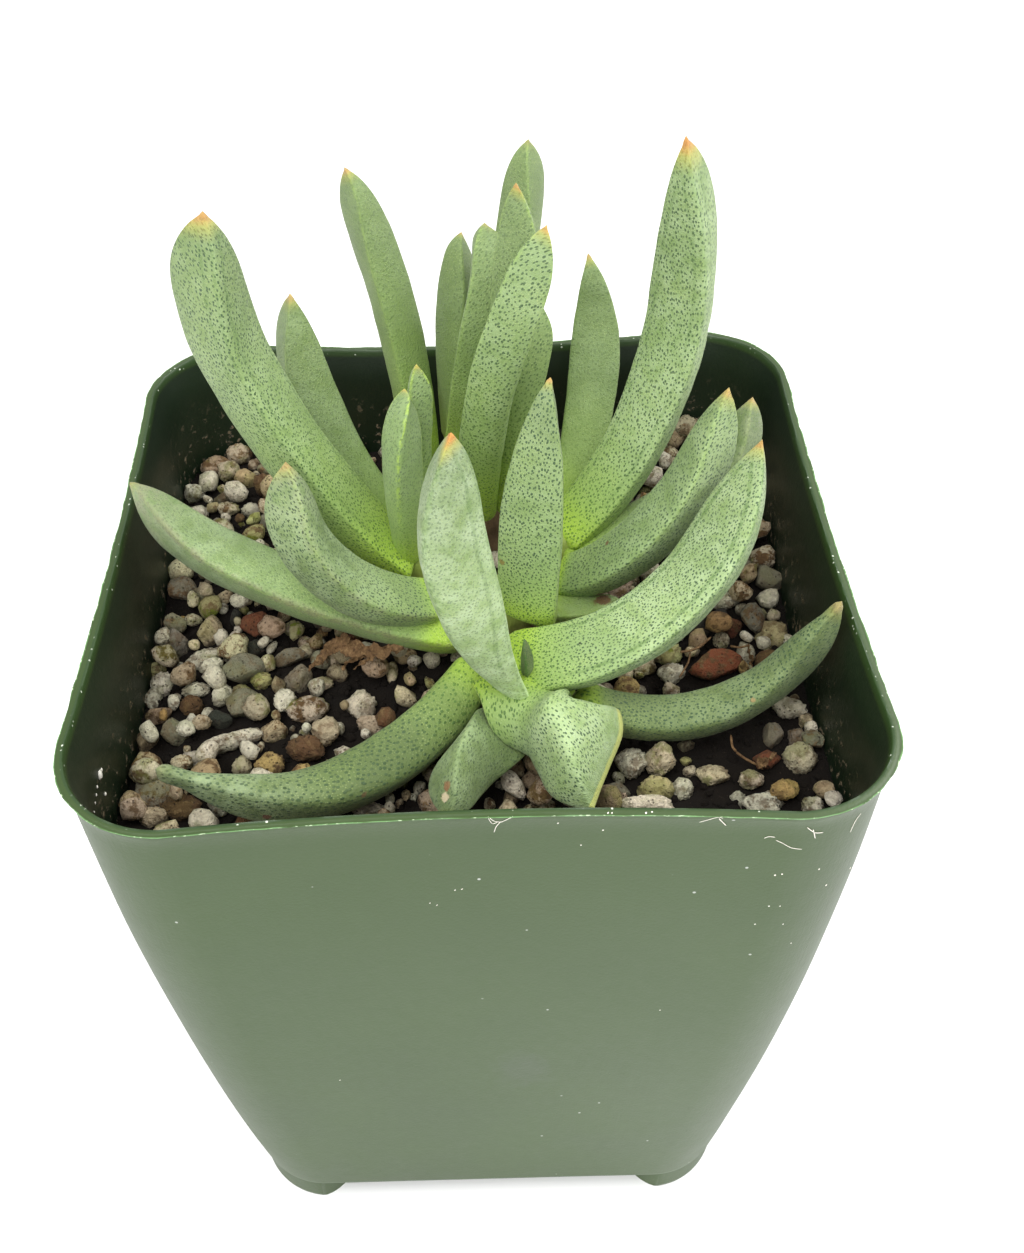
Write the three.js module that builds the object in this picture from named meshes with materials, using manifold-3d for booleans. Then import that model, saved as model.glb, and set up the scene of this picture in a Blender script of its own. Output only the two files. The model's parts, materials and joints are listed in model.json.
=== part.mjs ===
// A clump of Ebracteola wilmaniae in a square moulded nursery pot.
// Millimetres, +Z up. The origin is the middle of the pot's underside, and the pot's front faces -Y.
// Each leaf is a solid of its own: flat on top, keeled below, narrowed to a point like a small boat.
import * as THREE from "three";
import { mergeVertices } from "three/addons/utils/BufferGeometryUtils.js";
import Module from "manifold-3d";

const wasm = await Module();
wasm.setup();

// Pot
const RIM_HALF = 31.75;
const RIM_CORNER = 8.5;
const BASE_HALF = 25.75;
const BASE_CORNER = 8;
const POT_HEIGHT = 74.3;
const WALL = 0.9;
const LIP_REACH = 0.4;
const LIP_HEIGHT = 1.4;
const WALL_BULGE = 0.9;
const RIM_BOW = { front: 1.0, back: 1.4, side: 0.5 };
const FOOT_HEIGHT = 3.9;
const FOOT_DEPTH = 2.4;
const FOOT_LENGTH = 11.8;
const FLOOR_THICKNESS = 1.2;
const DRAIN_RADIUS = 3.2;
const DRAIN_SPREAD = 14;

// Soil and grit
const SOIL_TOP = 61.8;
const GRIT_RADIUS = { least: 1.8, most: 3.0 };
const GRIT_SPACING = 4.8;
const GRIT_SINK = 0.35;
const GRIT_STRAY = 1.6;
const GRIT_FLATNESS = { least: 0.65, most: 0.95, side: 0.85 };

// How near a stone's middle may come, in its own radii, to the wall, a shoot or a leaf, and how deep it
// may be pushed into the soil under a leaf
const STONE_ROOM = { wall: 0.6, shoot: 0.5, leaf: 0.7, deepest: 1.1 };

// The gap left between pieces that touch, and the one between leaves whose feet crowd together
const GAP = 0.3;
const LEAF_GAP = 0.36;

// Crown: the short broad stock in the soil, and the top of each shoot that stands on it
const STOCK = { at: [2, 2, 56.5], size: [7.5, 13, 4.5] };
const SHOOT_LEAN = 0.85;
const STEM_FLARE = 0.7;
const STEM_END = { shoulder: 0.7, shoulderHeight: 0.6, crownHeight: 0.8 };
const SHOOTS = {
  front: { top: [4.5, -11.8, 69.4], radius: 2.2 },
  middle: { top: [2.5, -2.5, 68.8], radius: 2.8 },
  left: { top: [-5.5, 3.5, 69.2], radius: 1.9 },
  back: { top: [0.5, 15.5, 68.8], radius: 2.9 },
  right: { top: [8.8, 6, 68.8], radius: 2.2 },
};

// Leaves. root, belly and tip are on the middle of the flat face: where it starts, halfway and at its end.
// width is across the flat face and depth from there to the keel. roll turns the face about the leaf, in
// degrees, and twist adds to that along its first half. full and chin say how far along the leaf is widest
// and deepest, foot how wide it starts and neck how deep. A hook over 1 makes the keel jut out at the chin.
// Younger leaves come first: an older leaf is cut clear of them where their feet crowd together.
const LEAF_FORM = { roll: 0, twist: 0, full: 0.5, chin: 0.75, foot: 0.8, neck: 0.8, hook: 1 };
const LEAVES = [
  {
    name: "front_bud", root: [4.5, -13, 70.5], belly: [4.5, -13.5, 73.5], tip: [4, -14, 76],
    width: 1.4, depth: 1.2,
  },
  {
    name: "front_leaf_right", root: [5, -11.5, 71], belly: [15.5, -12, 77], tip: [23.5, -3, 86],
    width: 6.2, depth: 4.2, roll: -5, full: 0.55, chin: 0.65,
  },
  {
    name: "front_leaf_left", root: [3, -14, 71], belly: [-0.5, -18, 87], tip: [-1, -20, 100],
    width: 5.4, depth: 4.6, roll: 10, foot: 0.65,
  },
  {
    name: "front_leaf_back", root: [4.5, -7.5, 71.5], belly: [5, -7, 84], tip: [6.5, -3, 92.5],
    width: 5.4, depth: 3.8, full: 0.25, foot: 0.95,
  },
  {
    name: "front_leaf_near", root: [4, -14.4, 70], belly: [5.4, -19.8, 70.6], tip: [8.8, -26, 68.4],
    width: 8.2, depth: 6.2, roll: -24, twist: 100, full: 0.25, chin: 0.45, foot: 1, neck: 0.3, hook: 4,
  },
  {
    name: "left_leaf_young", root: [-5.5, 3.5, 70.5], belly: [-5.5, 1, 82], tip: [-5, 2, 88.5],
    width: 3.6, depth: 2.8,
  },
  {
    name: "left_leaf_twin", root: [-5, 4, 70.5], belly: [-5, 4, 81], tip: [-4, 4, 89.5],
    width: 2.8, depth: 2,
  },
  {
    name: "left_leaf_outer", root: [-5.5, 2.5, 70], belly: [-15.5, 3, 87], tip: [-19.5, 5, 103],
    width: 6.4, depth: 5.2, full: 0.6, chin: 0.8,
  },
  {
    name: "left_leaf_back", root: [-5.5, 5, 69], belly: [-12.5, 10, 79], tip: [-15, 14, 90.5],
    width: 5.4, depth: 4.2,
  },
  {
    name: "back_leaf_near", root: [0.5, 10.5, 70], belly: [2, 5, 89], tip: [6.5, 4, 101.5],
    width: 4.4, depth: 3.4,
  },
  {
    name: "back_leaf_middle", root: [2, 16.5, 70], belly: [4, 13, 89], tip: [4.5, 12, 101],
    width: 4.2, depth: 3.6,
  },
  {
    name: "back_leaf_inner", root: [-1.5, 18.5, 70], belly: [0.5, 15, 86.5], tip: [2, 17, 95],
    width: 4.6, depth: 4,
  },
  {
    name: "back_leaf_right", root: [3.5, 11, 69.5], belly: [3.5, 9, 83.5], tip: [6, 10, 92],
    width: 4.2, depth: 3.4,
  },
  {
    name: "back_leaf_tall", root: [2.3, 19, 68.5], belly: [4, 20, 88.5], tip: [6, 22, 100],
    width: 4.4, depth: 3.6,
  },
  {
    name: "back_leaf_left", root: [-4, 17.5, 70], belly: [-6, 20, 86], tip: [-10, 22, 98],
    width: 4.4, depth: 3.6,
  },
  {
    name: "back_leaf_slim", root: [-2, 21.5, 69], belly: [-1.5, 20, 83.5], tip: [0, 23, 91],
    width: 3.8, depth: 3.2,
  },
  {
    name: "right_leaf_outer", root: [8.5, 5.5, 70], belly: [17, 10, 84], tip: [18, 13, 104],
    width: 6.2, depth: 4.6, full: 0.6, chin: 0.8,
  },
  {
    name: "right_leaf_back", root: [9, 9, 69], belly: [12, 17.5, 79], tip: [11.5, 22, 89],
    width: 4.8, depth: 4.2,
  },
  {
    name: "middle_leaf_right", root: [8, -1, 70.5], belly: [15, -3, 78], tip: [21, 0, 89],
    width: 5.2, depth: 4,
  },
  {
    name: "middle_leaf_left", root: [-3.5, -3, 70], belly: [-10.5, -6, 76.5], tip: [-14.5, -4, 86],
    width: 5.4, depth: 4.2,
  },
  {
    name: "low_leaf_left", root: [0, -10.5, 68], belly: [-11, -21, 67], tip: [-25.5, -21, 69],
    width: 5, depth: 4.2, full: 0.3, chin: 0.35,
  },
  {
    name: "low_leaf_right", root: [9.5, -14, 68], belly: [20.5, -13.5, 66.5], tip: [29.5, -12, 76.5],
    width: 4.2, depth: 3.4, full: 0.4,
  },
  {
    name: "low_leaf_near", root: [3, -15.5, 66.8], belly: [0.2, -20.5, 68.5], tip: [-2.4, -26, 67.8],
    width: 5.8, depth: 3.8, roll: -25, twist: -40, full: 0.4, chin: 0.7, foot: 0.9, neck: 0.4, hook: 3,
  },
  {
    name: "far_leaf_right", root: [9, 4.5, 69], belly: [20, 6, 74], tip: [25.5, 10, 81],
    width: 5, depth: 4,
  },
  {
    name: "far_leaf_left", root: [-3, -4.5, 68], belly: [-18.5, -2, 73.5], tip: [-30, 5, 77.5],
    width: 5.2, depth: 4.6,
  },
  {
    name: "short_leaf_right", root: [6, -3.5, 69], belly: [9.5, -4, 69.5], tip: [13, -3, 69],
    width: 3, depth: 2.6,
  },
];

// The leaf's outline: how fast it narrows to the tip and how fast the keel rises to it, where its twist
// ends, how far the tip is lifted, and the section under the face, from round to nearly a triangle.
const TAPER_POWER = 2.4;
const KEEL_POWER = 3;
const TWIST_END = 0.5;
const TIP_LIFT = { share: 0.22, from: 0.6 };
const ROUNDNESS = { root: 2, blade: 1.35, reachedAt: 0.6 };
const FACE_RISE = 0.14;
const TIP_SIZE = 0.04;

// Facets
const WALL_STEPS = 5;
const CORNER_STEPS = 5;
const POT_LEVELS = [0, FOOT_HEIGHT, 16, 30, 44, 58, POT_HEIGHT - LIP_HEIGHT];
const LEAF_RINGS = 10;
const LEAF_SIDES = 10;
const RING_CROWDING = 0.35;

const leafGreen = new THREE.MeshStandardMaterial({ color: 0x9dbb8c, roughness: 0.6, metalness: 0 });
const oldLeafGreen = new THREE.MeshStandardMaterial({ color: 0x87996f, roughness: 0.65, metalness: 0 });
const stockBrown = new THREE.MeshStandardMaterial({ color: 0x7d6a45, roughness: 0.9, metalness: 0 });
const gritBeige = new THREE.MeshStandardMaterial({ color: 0xb7ab92, roughness: 0.95, metalness: 0 });
const potGreen = new THREE.MeshStandardMaterial({ color: 0x4e6a4e, roughness: 0.45, metalness: 0 });

// A seeded random number from 0 to 1, so that the grit lies the same way each time
function seededRandom(seed) {
  let state = seed;
  return function next() {
    state = (state * 1664525 + 1013904223) % 4294967296;
    return state / 4294967296;
  };
}

// Boolean joins and cuts work on solids, and the drawing on geometries
function toSolid(geometry) {
  const bare = geometry.clone();
  bare.deleteAttribute("normal");
  bare.deleteAttribute("uv");
  const merged = mergeVertices(bare, 1e-5);
  const vertProperties = new Float32Array(merged.attributes.position.array);
  const triVerts = new Uint32Array(merged.index.array);
  return new wasm.Manifold(new wasm.Mesh({ numProp: 3, vertProperties, triVerts }));
}

function toGeometry(solid) {
  const mesh = solid.getMesh();
  const geometry = new THREE.BufferGeometry();
  geometry.setAttribute("position", new THREE.BufferAttribute(new Float32Array(mesh.vertProperties), 3));
  geometry.setIndex(new THREE.BufferAttribute(new Uint32Array(mesh.triVerts), 1));
  geometry.computeVertexNormals();
  return geometry;
}

// The biggest body of a cut or joined solid: a loose scrap or a sealed pocket is dropped
function mainBody(solid) {
  const bodies = solid.decompose();
  return bodies.reduce((best, body) => (body.volume() > best.volume() ? body : best));
}

// A closed skin through rings of points, all of one count and anticlockwise about the way they go
function loft(rings) {
  const count = rings[0].length;
  const positions = rings.flat().flatMap((point) => [point.x, point.y, point.z]);
  const triangles = [];
  for (let i = 0; i < rings.length - 1; i += 1) {
    for (let j = 0; j < count; j += 1) {
      const here = i * count + j;
      const beside = i * count + ((j + 1) % count);
      triangles.push(here, beside, beside + count, here, beside + count, here + count);
    }
  }
  for (const end of [0, rings.length - 1]) {
    const middle = new THREE.Vector3();
    rings[end].forEach((point) => middle.add(point));
    middle.divideScalar(count);
    const hub = positions.length / 3;
    positions.push(middle.x, middle.y, middle.z);
    for (let j = 0; j < count; j += 1) {
      const here = end * count + j;
      const beside = end * count + ((j + 1) % count);
      if (end === 0) {
        triangles.push(hub, beside, here);
      } else {
        triangles.push(hub, here, beside);
      }
    }
  }
  const geometry = new THREE.BufferGeometry();
  geometry.setAttribute("position", new THREE.Float32BufferAttribute(positions, 3));
  geometry.setIndex(triangles);
  return geometry;
}

// The same skin moved outwards, to cut a neighbour clear of it
function grown(geometry, by) {
  const bigger = geometry.clone();
  bigger.computeVertexNormals();
  const position = bigger.attributes.position;
  const normal = bigger.attributes.normal;
  for (let i = 0; i < position.count; i += 1) {
    position.setXYZ(
      i,
      position.getX(i) + normal.getX(i) * by,
      position.getY(i) + normal.getY(i) * by,
      position.getZ(i) + normal.getZ(i) * by,
    );
  }
  return bigger;
}

// Half the pot's width outside at a height: a straight taper with a slight belly
function wallHalf(z) {
  const up = THREE.MathUtils.clamp((z - FOOT_HEIGHT) / (POT_HEIGHT - FOOT_HEIGHT), 0, 1);
  return BASE_HALF + (RIM_HALF - LIP_REACH - BASE_HALF) * up + WALL_BULGE * 4 * up * (1 - up);
}

// A rounded square at one height. inset moves it in from the wall's outside. Towards the rim the four
// walls are drawn in a little in the middle, each by its own bow.
function potRing(z, inset) {
  const up = THREE.MathUtils.clamp((z - FOOT_HEIGHT) / (POT_HEIGHT - FOOT_HEIGHT), 0, 1);
  const half = wallHalf(z) - inset;
  const corner = BASE_CORNER + (RIM_CORNER - BASE_CORNER) * up - inset;
  const straight = half - corner;
  const bows = [RIM_BOW.front, RIM_BOW.side, RIM_BOW.back, RIM_BOW.side];
  const ring = [];
  bows.forEach((bow, side) => {
    const turn = (side * Math.PI) / 2;
    const add = (x, y) => {
      ring.push(new THREE.Vector3(x, y, z).applyAxisAngle(new THREE.Vector3(0, 0, 1), turn));
    };
    for (let i = 0; i <= WALL_STEPS; i += 1) {
      const along = (2 * i) / WALL_STEPS - 1;
      add(along * straight, -half + bow * up * (1 - along * along));
    }
    for (let i = 1; i < CORNER_STEPS; i += 1) {
      const angle = ((i / CORNER_STEPS) * Math.PI) / 2;
      add(straight + corner * Math.sin(angle), -straight - corner * Math.cos(angle));
    }
  });
  return ring;
}

// The pot: a thin tapered shell with a lip round the rim, a floor with drain holes, and four corner feet
function makePot() {
  const outside = POT_LEVELS.map((z) => potRing(z, 0));
  outside.push(potRing(POT_HEIGHT - LIP_HEIGHT + 0.3, -LIP_REACH), potRing(POT_HEIGHT, -LIP_REACH));
  const floorTop = FOOT_HEIGHT + FLOOR_THICKNESS;
  const above = POT_HEIGHT + 1;
  const insideLevels = [floorTop, ...POT_LEVELS.slice(2), POT_HEIGHT, above];
  const inside = insideLevels.map((z) => potRing(z, WALL));

  let pot = toSolid(loft(outside)).subtract(toSolid(loft(inside)));

  // Under the floor only the corners go on down, as feet with a wall FOOT_DEPTH thick
  const below = -1;
  const recess = loft([below, FOOT_HEIGHT].map((z) => potRing(z, FOOT_DEPTH)));
  pot = pot.subtract(toSolid(recess));
  const gapWidth = 2 * (BASE_HALF - FOOT_LENGTH);
  const gapHeight = FOOT_HEIGHT - below;
  for (const turn of [0, Math.PI / 2]) {
    const bar = new THREE.BoxGeometry(4 * BASE_HALF, gapWidth, gapHeight);
    bar.rotateZ(turn);
    bar.translate(0, 0, below + gapHeight / 2);
    pot = pot.subtract(toSolid(bar));
  }

  for (const [x, y] of [[1, 0], [0, 1], [-1, 0], [0, -1], [0, 0]]) {
    const drain = new THREE.CylinderGeometry(DRAIN_RADIUS, DRAIN_RADIUS, 4 * FLOOR_THICKNESS, 16);
    drain.rotateX(Math.PI / 2);
    drain.translate(x * DRAIN_SPREAD, y * DRAIN_SPREAD, FOOT_HEIGHT + FLOOR_THICKNESS / 2);
    pot = pot.subtract(toSolid(drain));
  }
  return pot;
}

// Where a shoot's stem leaves the stock: nearly under its top
function shootFoot(top) {
  const stock = new THREE.Vector3(...STOCK.at);
  return new THREE.Vector3(top[0], top[1], stock.z).lerp(stock, 1 - SHOOT_LEAN);
}

// The crown: a stock in the soil, and a short stem with a round end for each shoot
function makeCrown(extra) {
  const stock = new THREE.SphereGeometry(1, 10, 7);
  stock.scale(...STOCK.size.map((size) => size + extra));
  stock.translate(...STOCK.at);
  let crown = toSolid(stock);
  for (const { top, radius } of Object.values(SHOOTS)) {
    const foot = shootFoot(top);
    const way = new THREE.Vector3(...top).sub(foot);
    const reach = way.length();
    const wide = radius + extra;
    const profile = [
      new THREE.Vector2(0, 0),
      new THREE.Vector2(wide + STEM_FLARE, 0),
      new THREE.Vector2(wide, reach),
      new THREE.Vector2(STEM_END.shoulder * wide, reach + STEM_END.shoulderHeight * wide),
      new THREE.Vector2(0, reach + STEM_END.crownHeight * wide),
    ];
    const stem = new THREE.LatheGeometry(profile, 9);
    const upright = new THREE.Vector3(0, 1, 0);
    stem.applyQuaternion(new THREE.Quaternion().setFromUnitVectors(upright, way.normalize()));
    stem.translate(foot.x, foot.y, foot.z);
    crown = crown.add(toSolid(stem));
  }
  return crown;
}

// Where a leaf's flat face runs, as a curve with the belly halfway along it
function leafCurve(leaf) {
  const root = new THREE.Vector3(...leaf.root);
  const belly = new THREE.Vector3(...leaf.belly);
  const tip = new THREE.Vector3(...leaf.tip);
  const control = belly.clone().multiplyScalar(2).sub(root.clone().add(tip).multiplyScalar(0.5));
  return new THREE.QuadraticBezierCurve3(root, control, tip);
}

// A leaf: rings across the curve, flat above and keeled below, that shut to a small point. The face looks
// up and back to the plant's middle. Near the tip the keel runs up to meet it, like the bow of a boat.
function makeLeaf(given) {
  const leaf = { ...LEAF_FORM, ...given };
  const curve = leafCurve(leaf);
  const outwards = new THREE.Vector3(...leaf.tip).sub(new THREE.Vector3(...leaf.root)).setZ(0).normalize();
  const upAndIn = new THREE.Vector3(0, 0, 1).sub(outwards).normalize();
  const rings = [];
  for (let i = 0; i <= LEAF_RINGS; i += 1) {
    const even = i / LEAF_RINGS;
    const along = THREE.MathUtils.lerp(even, 0.5 * (1 - Math.cos(Math.PI * even)), RING_CROWDING);
    const point = curve.getPoint(along);
    const ahead = curve.getTangent(along);
    const face = upAndIn.clone().addScaledVector(ahead, -upAndIn.dot(ahead)).normalize();
    const turned = leaf.roll + leaf.twist * THREE.MathUtils.smoothstep(along, 0, TWIST_END);
    face.applyAxisAngle(ahead, THREE.MathUtils.degToRad(turned));
    const across = ahead.clone().cross(face);

    const toFull = along / leaf.full;
    const pastFull = (along - leaf.full) / (1 - leaf.full);
    const widthHere = along < leaf.full
      ? leaf.foot + (1 - leaf.foot) * (1 - (1 - toFull) ** 2)
      : 1 - pastFull ** TAPER_POWER;
    const toChin = (along / leaf.chin) ** leaf.hook;
    const pastChin = (along - leaf.chin) / (1 - leaf.chin);
    const depthHere = along < leaf.chin
      ? leaf.neck + (1 - leaf.neck) * (1 - (1 - toChin) ** 2)
      : 1 - pastChin ** KEEL_POWER;
    const half = (leaf.width / 2) * Math.max(widthHere, TIP_SIZE);
    const keel = leaf.depth * Math.max(depthHere, TIP_SIZE);
    const lift = TIP_LIFT.share * keel * THREE.MathUtils.smoothstep(along, TIP_LIFT.from, 1);
    const toBlade = Math.min(1, along / ROUNDNESS.reachedAt);
    const roundness = THREE.MathUtils.lerp(ROUNDNESS.root, ROUNDNESS.blade, toBlade);

    const ring = [];
    for (let j = 0; j < LEAF_SIDES; j += 1) {
      const angle = (-j / LEAF_SIDES) * 2 * Math.PI;
      const c = Math.cos(angle);
      const s = Math.sin(angle);
      const power = s > 1e-9 ? 1 : 2 / roundness;
      const x = half * Math.sign(c) * Math.abs(c) ** power;
      const y = s > 1e-9 ? FACE_RISE * half * s : -keel * Math.abs(s) ** power;
      ring.push(point.clone().addScaledVector(across, x).addScaledVector(face, y + lift));
    }
    rings.push(ring);
  }
  return loft(rings);
}

// How high the underside of the leaves is over a spot, or nothing where no leaf hangs over it
function leafUndersideOver(x, y, reach) {
  let lowest = Infinity;
  for (const leaf of LEAVES) {
    const curve = leafCurve(leaf);
    for (let along = 0; along <= 1; along += 0.1) {
      const point = curve.getPoint(along);
      const away = Math.hypot(point.x - x, point.y - y);
      if (away < reach + leaf.width / 2) {
        lowest = Math.min(lowest, point.z - leaf.depth);
      }
    }
  }
  return lowest;
}

// The soil: a plug that fills the pot, with stones sunk into its top in loose rows, each pushed about by
// a random draw. Stones under a leaf are lower, and they are cut clear of the wall and the shoots.
function makeSoil() {
  const floor = FOOT_HEIGHT + FLOOR_THICKNESS + GAP;
  const inset = WALL + GAP;
  const plugTo = (top) => {
    const levels = [floor, ...POT_LEVELS.filter((z) => z > floor && z < SOIL_TOP), top];
    return toSolid(loft(levels.map((z) => potRing(z, inset))));
  };
  let soil = plugTo(SOIL_TOP);

  const random = seededRandom(21);
  const reach = wallHalf(SOIL_TOP) - inset;
  const corner = BASE_CORNER;
  const rowStep = GRIT_SPACING * Math.sin(Math.PI / 3);
  const rows = Math.floor((2 * reach) / rowStep);
  const stones = [];
  for (let row = 0; row <= rows; row += 1) {
    for (let column = 0; column <= rows; column += 1) {
      const size = THREE.MathUtils.lerp(GRIT_RADIUS.least, GRIT_RADIUS.most, random());
      const x = -reach + (column + (row % 2) / 2) * GRIT_SPACING + (random() - 0.5) * GRIT_STRAY;
      const y = -reach + row * rowStep + (random() - 0.5) * GRIT_STRAY;
      const flat = THREE.MathUtils.lerp(GRIT_FLATNESS.least, GRIT_FLATNESS.most, random());
      const turn = new THREE.Euler(random() * 6, random() * 6, random() * 6);
      const height = SOIL_TOP + GRIT_SINK * size;

      const pastX = Math.max(0, Math.abs(x) - (reach - corner));
      const pastY = Math.max(0, Math.abs(y) - (reach - corner));
      const inPot = Math.hypot(pastX, pastY) < corner - STONE_ROOM.wall * size;
      const clearOfShoots = Object.values(SHOOTS).every(({ top, radius }) => (
        Math.hypot(top[0] - x, top[1] - y) > radius + STONE_ROOM.shoot * size
      ));
      const ceiling = leafUndersideOver(x, y, STONE_ROOM.leaf * size) - GAP;
      const drop = Math.max(0, height + size - ceiling);
      if (inPot && clearOfShoots && drop < STONE_ROOM.deepest * size) {
        const stone = new THREE.IcosahedronGeometry(size, 0);
        stone.scale(1, flat, GRIT_FLATNESS.side);
        stone.applyMatrix4(new THREE.Matrix4().makeRotationFromEuler(turn));
        stone.translate(x, y, height - drop);
        stones.push(toSolid(stone));
      }
    }
  }
  for (const stone of stones) {
    soil = soil.add(stone);
  }
  soil = mainBody(soil.intersect(plugTo(POT_HEIGHT)));
  return mainBody(soil.subtract(makeCrown(GAP)));
}

// Every leaf, cut clear of the crown and of the younger leaves that it meets at the foot
function makeLeaves() {
  const aroundCrown = makeCrown(GAP);
  const younger = [];
  const made = [];
  for (const leaf of LEAVES) {
    const geometry = makeLeaf(leaf);
    let solid = toSolid(geometry).subtract(aroundCrown);
    for (const other of younger) {
      solid = solid.subtract(other);
    }
    made.push({ name: leaf.name, solid: mainBody(solid) });
    younger.push(toSolid(grown(geometry, LEAF_GAP)));
  }
  return made;
}

const group = new THREE.Group();

function addPiece(name, solid, material) {
  const mesh = new THREE.Mesh(toGeometry(solid), material);
  mesh.name = name;
  group.add(mesh);
}

addPiece("pot", makePot(), potGreen);
addPiece("soil", makeSoil(), gritBeige);
addPiece("crown", makeCrown(0), stockBrown);
for (const { name, solid } of makeLeaves()) {
  const isOld = name.startsWith("low") || name.startsWith("far");
  addPiece(name, solid, isOld ? oldLeafGreen : leafGreen);
}

export default group;
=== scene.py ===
import json
import math
from collections import namedtuple

import bmesh
import bpy
import numpy as np
from mathutils import Matrix, Vector, noise
from mathutils.bvhtree import BVHTree

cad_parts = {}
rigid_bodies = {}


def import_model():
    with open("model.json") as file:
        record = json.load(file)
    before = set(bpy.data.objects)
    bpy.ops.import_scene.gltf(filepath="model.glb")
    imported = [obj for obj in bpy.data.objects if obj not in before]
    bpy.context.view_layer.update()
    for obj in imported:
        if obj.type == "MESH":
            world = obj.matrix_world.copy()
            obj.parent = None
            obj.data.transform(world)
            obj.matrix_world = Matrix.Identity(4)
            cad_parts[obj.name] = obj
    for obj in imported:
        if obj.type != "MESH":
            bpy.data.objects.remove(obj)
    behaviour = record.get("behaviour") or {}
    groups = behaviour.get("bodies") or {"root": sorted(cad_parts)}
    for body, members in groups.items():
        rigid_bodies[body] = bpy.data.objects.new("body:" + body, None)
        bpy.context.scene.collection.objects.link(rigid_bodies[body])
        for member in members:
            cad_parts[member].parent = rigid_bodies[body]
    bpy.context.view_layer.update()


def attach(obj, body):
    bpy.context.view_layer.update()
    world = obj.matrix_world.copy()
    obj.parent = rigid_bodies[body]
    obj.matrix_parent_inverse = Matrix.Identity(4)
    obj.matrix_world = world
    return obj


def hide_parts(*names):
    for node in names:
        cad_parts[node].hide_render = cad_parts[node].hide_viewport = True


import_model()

# Camera. It is held by hand above the pot's front edge and looks steeply down into the plant, so the pot
# narrows quickly towards its feet.
MM = 0.001
CAMERA_AT = Vector((0.13, -91.91, 152.39)) * MM
LOOK_LEFT = math.radians(0.49)
LOOK_DOWN = math.radians(44.04)
HORIZON_TILT = math.radians(-2.05)
PHOTO_WIDTH, PHOTO_HEIGHT = 1024, 1253
FOCAL_PIXELS = 1377.7
CENTRE_PIXEL = Vector((466.2, 625.1))
SENSOR = 36.0


def camera_axes():
    """The camera's right, up and backward directions."""
    forward = Vector((
        -math.sin(LOOK_LEFT) * math.cos(LOOK_DOWN),
        math.cos(LOOK_LEFT) * math.cos(LOOK_DOWN),
        -math.sin(LOOK_DOWN),
    ))
    right = Vector((math.cos(LOOK_LEFT), math.sin(LOOK_LEFT), 0))
    up = right.cross(forward)
    cosine, sine = math.cos(HORIZON_TILT), math.sin(HORIZON_TILT)
    return right * cosine + up * sine, up * cosine - right * sine, -forward


lens = bpy.data.cameras.new("close_up")
lens.sensor_fit = "AUTO"
lens.sensor_width = SENSOR
lens.lens = FOCAL_PIXELS * SENSOR / PHOTO_HEIGHT
lens.shift_x = (PHOTO_WIDTH / 2 - CENTRE_PIXEL.x) / PHOTO_HEIGHT
lens.shift_y = (CENTRE_PIXEL.y - PHOTO_HEIGHT / 2) / PHOTO_HEIGHT
lens.clip_start = 5 * MM
camera = bpy.data.objects.new("close_up", lens)
camera.matrix_world = Matrix.Translation(CAMERA_AT) @ Matrix(camera_axes()).transposed().to_4x4()
bpy.context.scene.collection.objects.link(camera)
bpy.context.scene.camera = camera

# Pot. One shot of dark green plastic in a mould: thin square walls that taper and belly a little, round
# corners, a lip with a ragged thread of flash where the mould closed, a floor with drain holes, and four
# corner feet. Its film of lime and dust, its scuffs and the grime above the grit are in the plastic's colour.
# The film also paints the lower wall lighter as a painted reflection of the table, and the inside is painted
# near-black as painted shade.
RIM_HALF = 31.75
RIM_CORNER = 8.5
BASE_HALF = 25.75
BASE_CORNER = 8.0
POT_HEIGHT = 74.3
WALL = 0.9
LIP_REACH = 0.4
LIP_HEIGHT = 1.4
WALL_BELLY = 0.9
RIM_BOWS = (1.0, 0.5, 1.4, 0.5)
FOOT_HEIGHT = 3.9
FOOT_DEPTH = 2.4
FOOT_RADIUS = 5.4
FOOT_SPREAD = 20.2
FOOT_SET_BACK = 0.3
FLOOR_TOP = FOOT_HEIGHT + 1.2
DRAIN_RADIUS = 3.2
DRAIN_SPREAD = 14.0
WALL_STEPS = 84
CORNER_STEPS = 26
OUTSIDE_LEVELS = 34
INSIDE_LEVELS = 20
WALL_WAVE = 0.12
WALL_WAVE_SIZE = 16
FLASH_HEIGHT = 0.2

# The wall's section, up the outside, over the rim and down the inside. Each point is a height from the
# floor, the foot's top, the lip's foot or the rim, and an inset from the outside of the wall.
FOOT_EDGE = ((0, 0.5), (0.1, 0.2), (0.35, 0.04), (0.8, 0))
FOOT_ROOT = ((-0.4, FOOT_SET_BACK), (-0.02, FOOT_SET_BACK - 0.02), (0.05, 0.12), (0.25, 0.02))
LIP_FLARE = ((-1.0, -0.02), (-0.4, -0.07), (0.1, -0.15), (0.5, -0.25), (0.8, -0.34))
LIP_SIDE = ((-0.35, -0.4), (-0.2, -0.41))
RIM_TOP = ((-0.12, -0.43), (-0.1, -0.33), (-0.05, -0.22), (-0.03, -0.1), (-0.03, 0.02))
RIM_INSIDE = ((0, 0.14), (-0.08, 0.22), (-0.3, 0.28), (-0.8, 0.4), (-1.5, 0.58), (-2.4, 0.77), (-3.4, WALL))
FLOOR_EDGE = ((0.25, WALL + 0.2), (0, WALL + 0.8))


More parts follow.
